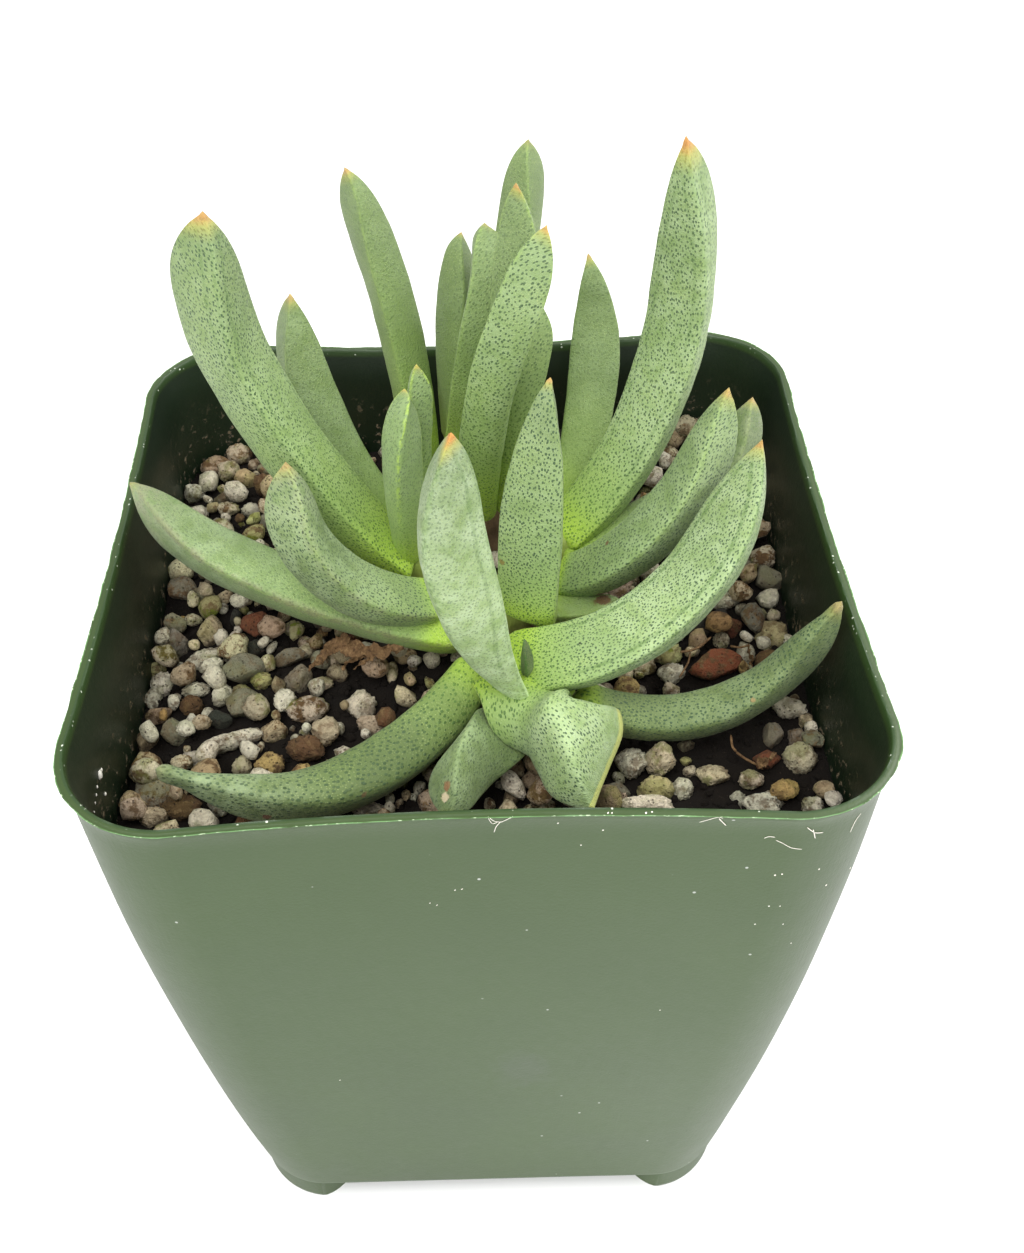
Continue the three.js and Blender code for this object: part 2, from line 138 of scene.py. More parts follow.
def pot_outline(z, inset):
    """The pot's rounded square at one height, inset from the outside of the wall."""
    up = min(max((z - FOOT_HEIGHT) / (POT_HEIGHT - FOOT_HEIGHT), 0), 1)
    belly = WALL_BELLY * 4 * up * (1 - up)
    half = BASE_HALF + (RIM_HALF - LIP_REACH - BASE_HALF) * up + belly - inset
    corner = BASE_CORNER + (RIM_CORNER - BASE_CORNER) * up - inset
    straight = half - corner
    along = np.linspace(-1, 1, WALL_STEPS + 1)
    angle = np.linspace(0, math.pi / 2, CORNER_STEPS + 1)[1:-1]
    sides = []
    for quarter, bow in enumerate(RIM_BOWS):
        x = np.concatenate([along * straight, straight + corner * np.sin(angle)])
        y = np.concatenate([bow * up * (1 - along**2) - half, -straight - corner * np.cos(angle)])
        cosine, sine = round(math.cos(quarter * math.pi / 2)), round(math.sin(quarter * math.pi / 2))
        sides.append(np.column_stack([x * cosine - y * sine, x * sine + y * cosine, np.full(len(x), z)]))
    return np.concatenate(sides)


def new_piece(name, points, faces, smooth=True):
    """A mesh object from points in millimetres."""
    mesh = bpy.data.meshes.new(name)
    mesh.from_pydata((np.asarray(points) * MM).tolist(), [], faces)
    mesh.update()
    if smooth:
        mesh.shade_smooth()
    piece = bpy.data.objects.new(name, mesh)
    bpy.context.scene.collection.objects.link(piece)
    return piece


def loft(rings):
    """Points and faces of a closed skin through rings of equal count, capped at both ends."""
    count = len(rings[0])
    points = np.concatenate([*rings, [np.mean(rings[0], axis=0)], [np.mean(rings[-1], axis=0)]])
    faces = []
    for i in range(len(rings) - 1):
        for j in range(count):
            here, beside = i * count + j, i * count + (j + 1) % count
            faces.append((here, beside, beside + count, here + count))
    first, last = len(points) - 2, len(points) - 1
    start = (len(rings) - 1) * count
    for j in range(count):
        beside = (j + 1) % count
        faces.append((first, beside, j))
        faces.append((last, start + j, start + beside))
    return points, faces


def settle(piece):
    """The piece with its modifiers turned into plain mesh."""
    view = piece.evaluated_get(bpy.context.evaluated_depsgraph_get())
    mesh = bpy.data.meshes.new_from_object(view)
    piece.modifiers.clear()
    piece.data = mesh
    return piece


def carve(piece, cutters):
    """Cuts each cutter out of the piece and throws the cutters away."""
    for cutter in cutters:
        cut = piece.modifiers.new("cut", "BOOLEAN")
        cut.operation = "DIFFERENCE"
        cut.solver = "MANIFOLD"
        cut.object = cutter
    settle(piece)
    for cutter in cutters:
        bpy.data.objects.remove(cutter)
    return piece


def box_cutter(low, high):
    corners = [(x, y, z) for x in (low[0], high[0]) for y in (low[1], high[1]) for z in (low[2], high[2])]
    faces = [(0, 1, 3, 2), (4, 6, 7, 5), (0, 4, 5, 1), (2, 3, 7, 6), (0, 2, 6, 4), (1, 5, 7, 3)]
    return new_piece("cutter", corners, faces, smooth=False)


def round_cutter(x, y, radius, low, high):
    turn = np.linspace(0, 2 * math.pi, 64, endpoint=False)
    circle = np.column_stack([x + radius * np.cos(turn), y + radius * np.sin(turn), np.zeros(64)])
    return new_piece("cutter", *loft([circle + (0, 0, z) for z in (low, high)]), smooth=False)


def ripple(point, size, seed):
    """Smooth noise, about -1 to 1, with waves of that size."""
    return noise.noise(Vector(point) / size + Vector((seed, seed * 1.7, -seed)))


def write_values(mesh, name, values, kind="FLOAT"):
    """A value for every point of the mesh, which its material or tree reads by that name."""
    layer = mesh.attributes.new(name, kind, "POINT")
    field = "vector" if kind == "FLOAT_VECTOR" else "value"
    layer.data.foreach_set(field, np.ravel(values).astype(np.int32 if kind == "INT" else np.float32))


def wall_section():
    """The section's points, and where its flash starts, its flash is highest and its inner edge is."""
    lip_foot = POT_HEIGHT - LIP_HEIGHT
    section = [(z, FOOT_SET_BACK + more) for z, more in FOOT_EDGE]
    section += [(FOOT_HEIGHT + up, inset) for up, inset in FOOT_ROOT]
    section += [(z, 0) for z in np.linspace(FOOT_HEIGHT + 0.7, lip_foot - 1.6, OUTSIDE_LEVELS)]
    section += [(lip_foot + up, inset) for up, inset in LIP_FLARE]
    flash_foot = len(section)
    flash_crest = flash_foot + len(LIP_SIDE)
    inner_crest = flash_crest + len(RIM_TOP)
    section += [(POT_HEIGHT + up, inset) for up, inset in (*LIP_SIDE, *RIM_TOP, *RIM_INSIDE)]
    section += [(z, WALL) for z in np.linspace(POT_HEIGHT - 4.4, FLOOR_TOP + 0.8, INSIDE_LEVELS)]
    section += [(FLOOR_TOP + up, inset) for up, inset in FLOOR_EDGE]
    return section, flash_foot, flash_crest, inner_crest


def moulded_shell():
    """The wall and floor before anything is cut out, with the flash's ragged thread along the lip."""
    section, flash_foot, flash_crest, inner_crest = wall_section()
    rings = []
    for level, (z, inset) in enumerate(section):
        ring = pot_outline(z, inset)
        outwards = ring - pot_outline(z, inset + 0.1)
        outwards /= np.linalg.norm(outwards, axis=1)[:, None]
        calm = min(1, max(0, (POT_HEIGHT - 3 - z) / 8)) * min(1, z / 12)
        for point, out in zip(ring, outwards):
            wave = WALL_WAVE * calm * ripple(point, WALL_WAVE_SIZE, 3)
            point += out * wave
            if level == flash_crest:
                ragged = 0.55 + 0.5 * ripple(point, 5, 8) + 0.5 * ripple(point, 1.1, 5)
                fin = FLASH_HEIGHT * min(1, max(0.04, ragged))
                point += out * fin * 0.9
                point[2] += fin * 0.35
            elif level == flash_foot:
                point += out * 0.05 * ripple(point, 1.5, 6)
            elif level == inner_crest:
                point[2] += 0.06 * ripple(point, 0.8, 2) + 0.04 * ripple(point, 4, 9)
        rings.append(ring)

    shell = new_piece("moulded_pot", *loft(rings))
    levels = np.arange(len(section))
    marks = {
        "stretched": (levels == flash_foot + 1) | (levels == flash_crest),
        "brim": (levels >= inner_crest - 1) & (levels <= inner_crest + 2),
        "inside": levels > inner_crest + 2,
    }
    for name, marked in marks.items():
        write_values(shell.data, name, np.append(np.repeat(marked, len(rings[0])), (False, marked[-1])))
    return shell


def make_pot():
    """The shell with its feet, its recess and its drain holes cut out."""
    pot = moulded_shell()
    below = -1
    far = 2 * BASE_HALF
    foot_rings = [pot_outline(z, FOOT_DEPTH) for z in (below, FOOT_HEIGHT)]
    recess = new_piece("cutter", *loft(foot_rings), smooth=False)
    gap = box_cutter((-far, -far, below), (far, far, FOOT_HEIGHT))
    feet = [(x * FOOT_SPREAD, y * FOOT_SPREAD) for x in (-1, 1) for y in (-1, 1)]
    carve(gap, [round_cutter(x, y, FOOT_RADIUS, below - 1, FOOT_HEIGHT + 1) for x, y in feet])
    drains = [(x * DRAIN_SPREAD, y * DRAIN_SPREAD) for x, y in ((1, 0), (0, 1), (-1, 0), (0, -1), (0, 0))]
    carve(pot, [recess, gap, *(
        round_cutter(x, y, DRAIN_RADIUS, FOOT_HEIGHT - 1, FLOOR_TOP + 1) for x, y in drains)])
    pot.data.materials.clear()
    pot.data.polygons.foreach_set("material_index", np.zeros(len(pot.data.polygons), dtype=np.int32))
    pot.data.shade_smooth()
    pot.data.set_sharp_from_angle(angle=math.radians(50))
    return pot


class Nodes:
    """A node tree that is built by expressions."""

    def __init__(self, tree):
        self.tree = tree
        tree.nodes.clear()

    def add(self, kind, settings=None, sockets=None):
        """A node of that type. settings come first, and stops are a colour ramp's."""
        node = self.tree.nodes.new(kind)
        for name, value in (settings or {}).items():
            if name == "stops":
                ramp = node.color_ramp
                while len(ramp.elements) < len(value):
                    ramp.elements.new(1)
                for element, (position, colour) in zip(ramp.elements, value):
                    element.position = position
                    element.color = (*colour, 1)
            else:
                setattr(node, name, value)
        for name, value in (sockets or {}).items():
            self.feed(node.inputs[name], value)
        return node

    def feed(self, socket, value):
        if isinstance(value, Wire):
            self.tree.links.new(value.socket, socket)
        elif isinstance(value, bpy.types.NodeSocket):
            self.tree.links.new(value, socket)
        else:
            socket.default_value = value

    def maths(self, operation, *values, clamp=False):
        node = self.add("ShaderNodeMath", {"operation": operation, "use_clamp": clamp})
        for socket, value in zip(node.inputs, values):
            self.feed(socket, value)
        return Wire(self, node.outputs[0])

    def vector(self, operation, *values, scale=None):
        node = self.add("ShaderNodeVectorMath", {"operation": operation})
        for socket, value in zip(node.inputs, values):
            self.feed(socket, value)
        if scale is not None:
            self.feed(node.inputs["Scale"], scale)
        return Wire(self, node.outputs["Value" if operation in ("LENGTH", "DISTANCE") else "Vector"])

    def mix(self, share, first, second):
        """A colour between two colours."""
        node = self.add("ShaderNodeMix", {"data_type": "RGBA"})
        for position, value in ((0, share), (6, first), (7, second)):
            self.feed(node.inputs[position], (*value, 1) if isinstance(value, tuple) else value)
        return Wire(self, node.outputs[2])

    def ramp(self, value, low, high):
        """0 below low and 1 above high, smoothly. low may be the larger."""
        if low > high:
            return 1 - self.ramp(value, high, low)
        node = self.add("ShaderNodeMapRange", {"interpolation_type": "SMOOTHSTEP"},
                        {"Value": value, "From Min": low, "From Max": high})
        return Wire(self, node.outputs["Result"])

    def noise(self, place, scale, detail=2.0, roughness=0.5, stretch=None):
        if stretch:
            place = self.vector("MULTIPLY", place, stretch)
        node = self.add("ShaderNodeTexNoise", {}, {
            "Vector": place, "Scale": scale, "Detail": detail, "Roughness": roughness})
        return Wire(self, node.outputs[0])

    def cells(self, place, scale, dimensions="3D", randomness=1.0):
        """Voronoi cells: the distance to the nearest middle, and a random value for each cell."""
        node = self.add("ShaderNodeTexVoronoi", {"voronoi_dimensions": dimensions}, {
            "Vector": place, "Scale": scale, "Randomness": randomness})
        own = self.add("ShaderNodeSeparateColor", {}, {"Color": node.outputs["Color"]})
        return Wire(self, node.outputs["Distance"]), Wire(self, own.outputs[0])

    def attribute(self, name):
        node = self.add("ShaderNodeAttribute", {"attribute_name": name})
        return Wire(self, node.outputs["Fac"])

    def place(self):
        """Object coordinates in millimetres."""
        node = self.add("ShaderNodeTexCoord")
        return self.vector("SCALE", node.outputs["Object"], scale=1 / MM)

    def parts(self, vector):
        node = self.add("ShaderNodeSeparateXYZ", {}, {"Vector": vector})
        return [Wire(self, output) for output in node.outputs]


class Wire:
    """A socket with arithmetic: an expression on values adds its Math nodes."""

    def __init__(self, nodes, socket):
        self.nodes = nodes
        self.socket = socket

    def __add__(self, other):
        return self.nodes.maths("ADD", self, other)

    def __sub__(self, other):
        return self.nodes.maths("SUBTRACT", self, other)

    def __rsub__(self, other):
        return self.nodes.maths("SUBTRACT", other, self)

    def __mul__(self, other):
        return self.nodes.maths("MULTIPLY", self, other)

    def __truediv__(self, other):
        return self.nodes.maths("DIVIDE", self, other)

    __radd__ = __add__
    __rmul__ = __mul__

    def limit(self):
        return self.nodes.maths("MULTIPLY", self, 1.0, clamp=True)


class Finish(Nodes):
    """A material with one Principled shader, whose colour is covered by one layer after the other."""

    def __init__(self, name, constants):
        self.colour = None
        self.material = bpy.data.materials.new(name)
        self.material.use_nodes = True
        super().__init__(self.material.node_tree)
        self.shader = self.add("ShaderNodeBsdfPrincipled", {}, constants)
        output = self.add("ShaderNodeOutputMaterial")
        self.tree.links.new(self.shader.outputs[0], output.inputs["Surface"])

    def cover(self, share, colour):
        """Lays a colour over what is there. share is how much of it covers."""
        self.colour = self.mix(share, self.colour, colour)

    def done(self, roughness, height, millimetres):
        """The finished material, with relief from a height of 0 to 1, that many millimetres high."""
        self.feed(self.shader.inputs["Base Color"], self.colour)
        self.feed(self.shader.inputs["Roughness"], roughness)
        node = self.add("ShaderNodeBump", {}, {"Height": height, "Distance": millimetres * MM})
        self.feed(self.shader.inputs["Normal"], node.outputs[0])
        return self.material


def green_plastic():
    finish = Finish("green_plastic", {"IOR": 1.49})
    place = finish.place()
    z = finish.parts(place)[2]
    cloud = finish.noise(place, 0.09, 3)
    mottle = finish.noise(place, 0.9, 4, 0.6)
    finish.colour = finish.mix(cloud, (0.024, 0.050, 0.007), (0.031, 0.060, 0.010))
    # A film of lime and dust, lighter towards the foot: part real film, part a painted reflection of the
    # bright table on the lower wall
    film_and_painted_reflection = finish.ramp(z, 45, 8) * finish.ramp(cloud, 0.3, 0.75) * 0.35
    finish.cover(film_and_painted_reflection, (0.08, 0.115, 0.055))

    # A greasy thumb mark low on the front wall
    mark_at = (3.5, -28.6, 33.5)
    from_mark = finish.vector("MULTIPLY", finish.vector("SUBTRACT", place, mark_at), (1, 0.3, 0.75))
    mark = finish.ramp(finish.vector("LENGTH", from_mark) + mottle * 3, 5.2, 2.4)
    finish.cover(mark * 0.3, (0.02, 0.03, 0.015))

    # Scuffs run down the wall where pots are pulled out of each other
    streak = finish.noise(place, 2.2, 2, 0.7, stretch=(1, 1, 0.06))
    scuff = finish.ramp(streak, 0.66, 0.74) * finish.ramp(mottle, 0.5, 0.7)
    finish.cover(scuff * 0.25, (0.12, 0.15, 0.11))
    speck, chance = finish.cells(place, 0.55)
    dust = finish.ramp(speck, 0.09, 0.04) * finish.ramp(chance, 0.9, 0.93)
    finish.cover(dust * 0.8, (0.5, 0.52, 0.48))

    # The inside is painted near-black as painted shade, with tan grime just above the grit
    inner = finish.attribute("inside")
    finish.cover(inner, (0.006, 0.014, 0.005))
    splash = finish.noise(place, 1.1, 4, 0.7)
    grime = inner * finish.ramp(z, 71, 62.5) * finish.ramp(splash, 0.58, 0.66)
    finish.cover(grime * 0.7, (0.27, 0.2, 0.12))

    # The thread of flash along the lip is stretched plastic, whitish green
    pale = finish.noise(place, 0.6, 3)
    nick = finish.noise(place, 2.8, 2)
    thread = finish.ramp(finish.attribute("stretched"), 0.35, 0.95)
    finish.cover(thread * finish.ramp(pale, 0.25, 0.6) * 0.9, (0.17, 0.34, 0.13))
    finish.cover(thread * finish.ramp(nick, 0.58, 0.68), (0.5, 0.62, 0.4))

    # Scraped flecks stand along the inner edge of the rim
    brim = finish.ramp(finish.attribute("brim"), 0.4, 0.9)
    fleck, rare = finish.cells(place, 2.4)
    scraped = brim * finish.ramp(fleck, 0.3, 0.15) * finish.ramp(rare, 0.62, 0.7)
    scraped = scraped * finish.ramp(pale, 0.42, 0.6)
    finish.cover(scraped, (0.62, 0.66, 0.55))
    finish.cover(brim * (1 - scraped) * 0.5, (0.012, 0.035, 0.01))

    grain = finish.noise(place, 3.5, 3, 0.6)
    rough = 0.4 + mottle * 0.08 + film_and_painted_reflection * 0.3 + scuff * 0.15 + grime * 0.4 + dust * 0.3 - mark * 0.06
    return finish.done(rough, grain * 0.6 + streak * 0.5 + dust + grime * 2, 0.035)


pot = make_pot()
pot.data.materials.append(green_plastic())
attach(pot, "root")
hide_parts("pot")

# Lint. White fibres and crumbs of perlite cling to the plastic by static, most of them to the front wall just
# under the rim and to the inside of the left wall. They are loose and only lie on the pot.
LINT_FIBRES = [
    # (radius, spots of the picture that it passes)
    (0.03, ((488, 817), (494, 821), (501, 822), (507, 819), (513, 817))),
    (0.03, ((501, 821), (496, 826), (494, 832))),
    (0.025, ((488, 818), (492, 824), (497, 822))),
    (0.025, ((699, 822), (710, 819), (719, 817), (723, 818))),
    (0.04, ((719, 818), (722, 821), (726, 825))),
    (0.035, ((807, 827), (815, 833), (823, 832))),
    (0.035, ((813, 829), (814, 833), (815, 838))),
    (0.025, ((850, 832), (853, 825), (856, 819), (861, 813))),
    (0.025, ((764, 838), (769, 836), (775, 837))),
    (0.025, ((776, 840), (783, 843), (791, 848), (802, 849))),
]
CORD_SIDES = 6
CRUMB_RINGS = ((0.8, -0.1), (1, 0.3), (0.5, 0.8))
LINT_CRUMBS = [
    # (column, row, length, width)
    (99, 775, 0.45, 0.3), (101, 770, 0.2, 0.14), (105, 794, 0.18, 0.14), (97, 787, 0.16, 0.1),
    (96, 795, 0.14, 0.1), (95, 803, 0.12, 0.08), (94, 812, 0.1, 0.07), (775, 875, 0.1, 0.07),
    (782, 874, 0.08, 0.06), (769, 906, 0.09, 0.06), (780, 906, 0.07, 0.05), (755, 924, 0.09, 0.06),
    (783, 924, 0.08, 0.05), (819, 869, 0.09, 0.06),
    (826, 885, 0.11, 0.06), (850, 868, 0.1, 0.06), (791, 943, 0.07, 0.05), (455, 890, 0.08, 0.06),
    (430, 903, 0.07, 0.05), (558, 823, 0.1, 0.06), (603, 830, 0.09, 0.06), (581, 845, 0.07, 0.05),
    (462, 889, 0.12, 0.04), (437, 905, 0.11, 0.04), (608, 813, 0.09, 0.07), (612, 813, 0.07, 0.06),
    (646, 813, 0.09, 0.07), (652, 812, 0.08, 0.06), (340, 1080, 0.09, 0.05), (660, 1010, 0.08, 0.05),
]


def searchable(piece):
    """The piece's faces, ready for rays to be sent at them."""
    corners = [vertex.co for vertex in piece.data.vertices]
    return BVHTree.FromPolygons(corners, [tuple(polygon.vertices) for polygon in piece.data.polygons])


def picture_ray(column, row):
    """The way from the camera to what shows at that column and row of the picture."""
    right, up, back = camera_axes()
    return right * (column - CENTRE_PIXEL.x) - up * (row - CENTRE_PIXEL.y) - back * FOCAL_PIXELS


def seen_on(trees, column, row):
    """The spot of those pieces which shows at that column and row of the picture, and the way out of it."""
    ray = picture_ray(column, row).normalized()
    hits = [hit for hit in (tree.ray_cast(CAMERA_AT, ray) for tree in trees) if hit[0]]
    if not hits:
        raise ValueError(f"nothing shows at column {column}, row {row}")
    spot, out, _, _ = min(hits, key=lambda hit: hit[3])
    return np.array(spot) / MM, np.array(out)


def tube(path, radius):
    """Points and faces of a thin round cord along the path, narrow at both ends."""
    path = np.asarray(path, float)
    steps = np.linspace(0, len(path) - 1, 6 * (len(path) - 1) + 1)
    smooth = np.column_stack([np.interp(steps, range(len(path)), path[:, axis]) for axis in range(3)])
    for _ in range(6):
        smooth[1:-1] = smooth[1:-1] / 2 + (smooth[:-2] + smooth[2:]) / 4
    turn = np.linspace(0, 2 * math.pi, CORD_SIDES, endpoint=False)
    rings = []
    for number, middle in enumerate(smooth):
        ahead = Vector(smooth[min(number + 1, len(smooth) - 1)] - smooth[max(number - 1, 0)])
        across, beside = np.array(ahead.orthogonal().normalized()), np.array(ahead.normalized())
        third = np.cross(beside, across)
        thick = radius * (0.35 if number in (0, len(smooth) - 1) else 1)
        rings.append(middle + thick * (np.outer(np.cos(turn), across) + np.outer(np.sin(turn), third)))
    return loft(rings)


def joined(name, parts):
    """One piece of several skins."""
    points, faces, start = [], [], 0
    for part_points, part_faces in parts:
        points.append(part_points)
        faces += [tuple(index + start for index in face) for face in part_faces]
        start += len(part_points)
    return new_piece(name, np.concatenate(points), faces)


def make_lint():
    """Fibres and crumbs, each laid on the plastic where it shows."""
    parts = []
    skin = [searchable(pot)]
    for radius, path in LINT_FIBRES:
        spots = []
        for column, row in path:
            spot, out = seen_on(skin, column, row)
            spots.append(spot + out * radius)
        parts.append(tube(spots, radius))
    turn = np.linspace(0, 2 * math.pi, 7, endpoint=False)
    for number, (column, row, length, width) in enumerate(LINT_CRUMBS):
        spot, out = seen_on(skin, column, row)
        along = np.array(Vector(out).orthogonal().normalized())
        across = np.cross(out, along)
        wobble = 1 + 0.3 * np.sin(turn * 2 + number)
        flat = np.outer(np.cos(turn) * wobble * width, across) + np.outer(np.sin(turn) * length, along)
        parts.append(loft([spot + flat * share + out * width * up for share, up in CRUMB_RINGS]))
    return joined("white_lint", parts)


lint = make_lint()
pale_fibre = Finish("white_lint", {"Base Color": (0.78, 0.74, 0.66, 1), "Roughness": 0.7})
lint.data.materials.append(pale_fibre.material)
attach(lint, "root")
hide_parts("pot")

# Peat. The pot is filled with a dark peaty mix, loose and crumbly on top, to about 12 mm under the rim. Its
# colour is near-black, darker than peat, as painted shade in the gaps between the stones. It is one plug of
# soil, with crumbs of it strewn over the surface.
SOIL_TOP = 61.8
SLIT = 0.02
PEAT_RINGS = 46
CRUMBS_PER_MM2 = 0.75
CRUMBS_FROM = SOIL_TOP - 1.4


def peat_height(x, y):
    """How high the peat is there: humps, lumps and crumbs."""
    spot = (x, y, 0)
    return SOIL_TOP + 0.8 * ripple(spot, 7, 1) + 0.45 * ripple(spot, 2.2, 2) + 0.2 * ripple(spot, 0.8, 3)


def make_peat():
    rings = [pot_outline(z, WALL + SLIT) for z in (FLOOR_TOP + SLIT, *np.linspace(12, SOIL_TOP - 1.5, 6))]
    edge = pot_outline(SOIL_TOP, WALL + SLIT)
    for share in np.linspace(1, 0.004, PEAT_RINGS):
        ring = edge * (share, share, 1)
        ring[:, 2] = [peat_height(x, y) for x, y, _ in ring]
        rings.append(ring)
    return new_piece("peat", *loft(rings))


def damp_peat():
    finish = Finish("damp_peat", {"Specular IOR Level": 0.2})
    place = finish.place()
    clod = finish.noise(place, 0.5, 5, 0.7)
    fibre = finish.noise(place, 3.0, 4, 0.7)
    # Near-black: dark peat, darkened further as painted shade in the deep gaps between the stones
    finish.colour = finish.mix(clod, (0.0015, 0.001, 0.0007), (0.009, 0.006, 0.0035))
    finish.cover(finish.ramp(fibre, 0.6, 0.75) * 0.4, (0.045, 0.026, 0.012))
    return finish.done(0.95 - finish.ramp(fibre, 0.62, 0.7) * 0.5, clod + fibre * 0.6, 0.25)


class Grower(Nodes):
    """A Geometry Nodes tree with named inputs, which makes a mesh from a ground."""

    def __init__(self, name, inputs):
        super().__init__(bpy.data.node_groups.new(name, "GeometryNodeTree"))
        self.sockets = {}
        for label, (kind, value) in inputs.items():
            socket = self.tree.interface.new_socket(label, in_out="INPUT", socket_type="NodeSocket" + kind)
            self.sockets[label] = socket.identifier
            if value is not None:
                socket.default_value = value
        self.tree.interface.new_socket("Mesh", in_out="OUTPUT", socket_type="NodeSocketGeometry")
        self.entry = self.add("NodeGroupInput").outputs

    def strew(self, points, shape, choice, rotation, scale):
        """The shape on every point, made real and given the input called Finish."""
        laid = self.add("GeometryNodeInstanceOnPoints", {}, {
            "Points": points, "Instance": shape, **choice, "Rotation": rotation, "Scale": scale})
        real = self.add("GeometryNodeRealizeInstances", {}, {"Geometry": laid.outputs[0]})
        coated = self.add("GeometryNodeSetMaterial", {}, {
            "Geometry": real.outputs[0], "Material": self.entry["Finish"]})
        self.tree.links.new(coated.outputs[0], self.add("NodeGroupOutput").inputs[0])

    def random(self, low, high):
        kind = "FLOAT_VECTOR" if isinstance(low, tuple) else "FLOAT"
        first, second = (0, 1) if isinstance(low, tuple) else (2, 3)
        node = self.add("FunctionNodeRandomValue", {"data_type": kind}, {
            first: low, second: high, "Seed": self.entry["Seed"]})
        return node.outputs[0 if isinstance(low, tuple) else 1]

    def rotation(self, angles):
        return self.add("FunctionNodeEulerToRotation", {}, {"Euler": angles}).outputs[0]


def crumb_tree():
    """Crumbs strewn over the top of a surface."""
    nodes = Grower("strewn_crumbs", {
        "Ground": ("Geometry", None), "Per square metre": ("Float", 1e6), "Lowest": ("Float", 0.0),
        "Least size": ("Float", 0.0002), "Most size": ("Float", 0.0006), "Seed": ("Int", 4),
        "Finish": ("Material", None)})
    entry = nodes.entry
    height = nodes.parts(nodes.add("GeometryNodeInputPosition").outputs[0])[2]
    spots = nodes.add("GeometryNodeDistributePointsOnFaces", {}, {
        "Mesh": entry["Ground"], "Selection": nodes.maths("GREATER_THAN", height, entry["Lowest"]),
        "Density": entry["Per square metre"], "Seed": entry["Seed"]})
    crumb = nodes.add("GeometryNodeMeshIcoSphere", {}, {"Radius": 1.0, "Subdivisions": 1})
    turn = nodes.random((0, 0, 0), (6.3, 6.3, 6.3))
    squash = nodes.random((0.4, 0.6, 0.4), (1.5, 1.2, 1.0))
    size = nodes.vector("SCALE", squash, scale=nodes.random(entry["Least size"], entry["Most size"]))
    nodes.strew(spots.outputs["Points"], crumb.outputs["Mesh"], {}, nodes.rotation(turn), size)
    return nodes


def grow(name, ground, nodes, values):
    """A new piece: what the tree makes from a copy of the ground."""
    piece = bpy.data.objects.new(name, ground.data.copy())
    bpy.context.scene.collection.objects.link(piece)
    modifier = piece.modifiers.new(nodes.tree.name, "NODES")
    modifier.node_group = nodes.tree
    for label, value in values.items():
        modifier[nodes.sockets[label]] = value
    return settle(piece)


peat = make_peat()
peat_material = damp_peat()
peat.data.materials.append(peat_material)
crumbs = grow("peat_crumbs", peat, crumb_tree(), {
    "Per square metre": CRUMBS_PER_MM2 / MM**2, "Lowest": CRUMBS_FROM * MM, "Finish": peat_material})
for piece in (peat, crumbs):
    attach(piece, "root")
    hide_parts("soil")

# Crown. The short woody stock sits in the soil, and a stem 4 to 6 mm thick stands on it for each shoot,
# ringed by the dry feet of old leaves. It is grown, not made, and the leaves sit on its stems.
STOCK_AT = (2, 2, 56.5)
STOCK_SIZE = (7.5, 13, 4.5)
SHOOTS = {
    "front": ((4.5, -11.8, 69.4), 2.2),
    "middle": ((2.5, -2.5, 68.8), 2.8),
    "left": ((-5.5, 3.5, 69.2), 1.9),
    "back": ((0.5, 15.5, 68.8), 2.9),
    "right": ((8.8, 6, 68.8), 2.2),
}
SHOOT_LEAN = 0.85
SHOOT_FLARE = 0.7
LEAF_SCARS = (0.12, 28)
BARK_GRAIN = 0.4


def make_crown():
    """Stock and stems, joined to one lumpy skin."""
    turn = np.linspace(0, 2 * math.pi, 24, endpoint=False)
    circle = np.column_stack([np.cos(turn), np.sin(turn), np.zeros(24)])
    ball = [circle * math.sqrt(1 - level**2) + (0, 0, level) for level in np.linspace(-0.99, 0.99, 12)]
    parts = [loft([ring * STOCK_SIZE + STOCK_AT for ring in ball])]
    for top, radius in SHOOTS.values():
        foot = np.array((*top[:2], STOCK_AT[2])) * SHOOT_LEAN + np.array(STOCK_AT) * (1 - SHOOT_LEAN)
        rings = []
        for share in np.linspace(0, 1, 16):
            middle = foot + (np.array(top) - foot) * share
            wide = radius + SHOOT_FLARE * (1 - share) + LEAF_SCARS[0] * math.cos(share * LEAF_SCARS[1])
            rings.append(circle * wide + middle)
        rings.append(circle * radius * 0.75 + np.array(top) + (0, 0, radius * 0.45))
        rings.append(circle * radius * 0.3 + np.array(top) + (0, 0, radius * 0.7))
        parts.append(loft(rings))
    crown = joined("woody_crown", parts)
    skin = crown.modifiers.new("one_skin", "REMESH")
    skin.mode = "VOXEL"
    skin.voxel_size = BARK_GRAIN * MM
    settle(crown)
    for vertex in crown.data.vertices:
        spot = vertex.co / MM
        ridges = 0.25 * ripple(spot * Vector((1, 1, 0.4)), 1.4, 2) + 0.1 * ripple(spot, 0.6, 5)
        vertex.co += vertex.normal * MM * ridges
    crown.data.shade_smooth()
    return crown


def brown_bark():
    finish = Finish("brown_bark", {})
    place = finish.place()
    rough = finish.noise(place, 1.2, 5, 0.7, stretch=(1, 1, 0.4))
    z = finish.parts(place)[2]
    finish.colour = finish.mix(rough, (0.05, 0.028, 0.014), (0.19, 0.12, 0.055))
    green = finish.ramp(z + rough * 2, 66.5, 70.5)
    finish.cover(green * 0.85, (0.24, 0.33, 0.05))
    return finish.done(0.85 - green * 0.25, rough, 0.2)


crown = make_crown()
crown.data.materials.append(brown_bark())
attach(crown, "root")
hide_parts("crown")
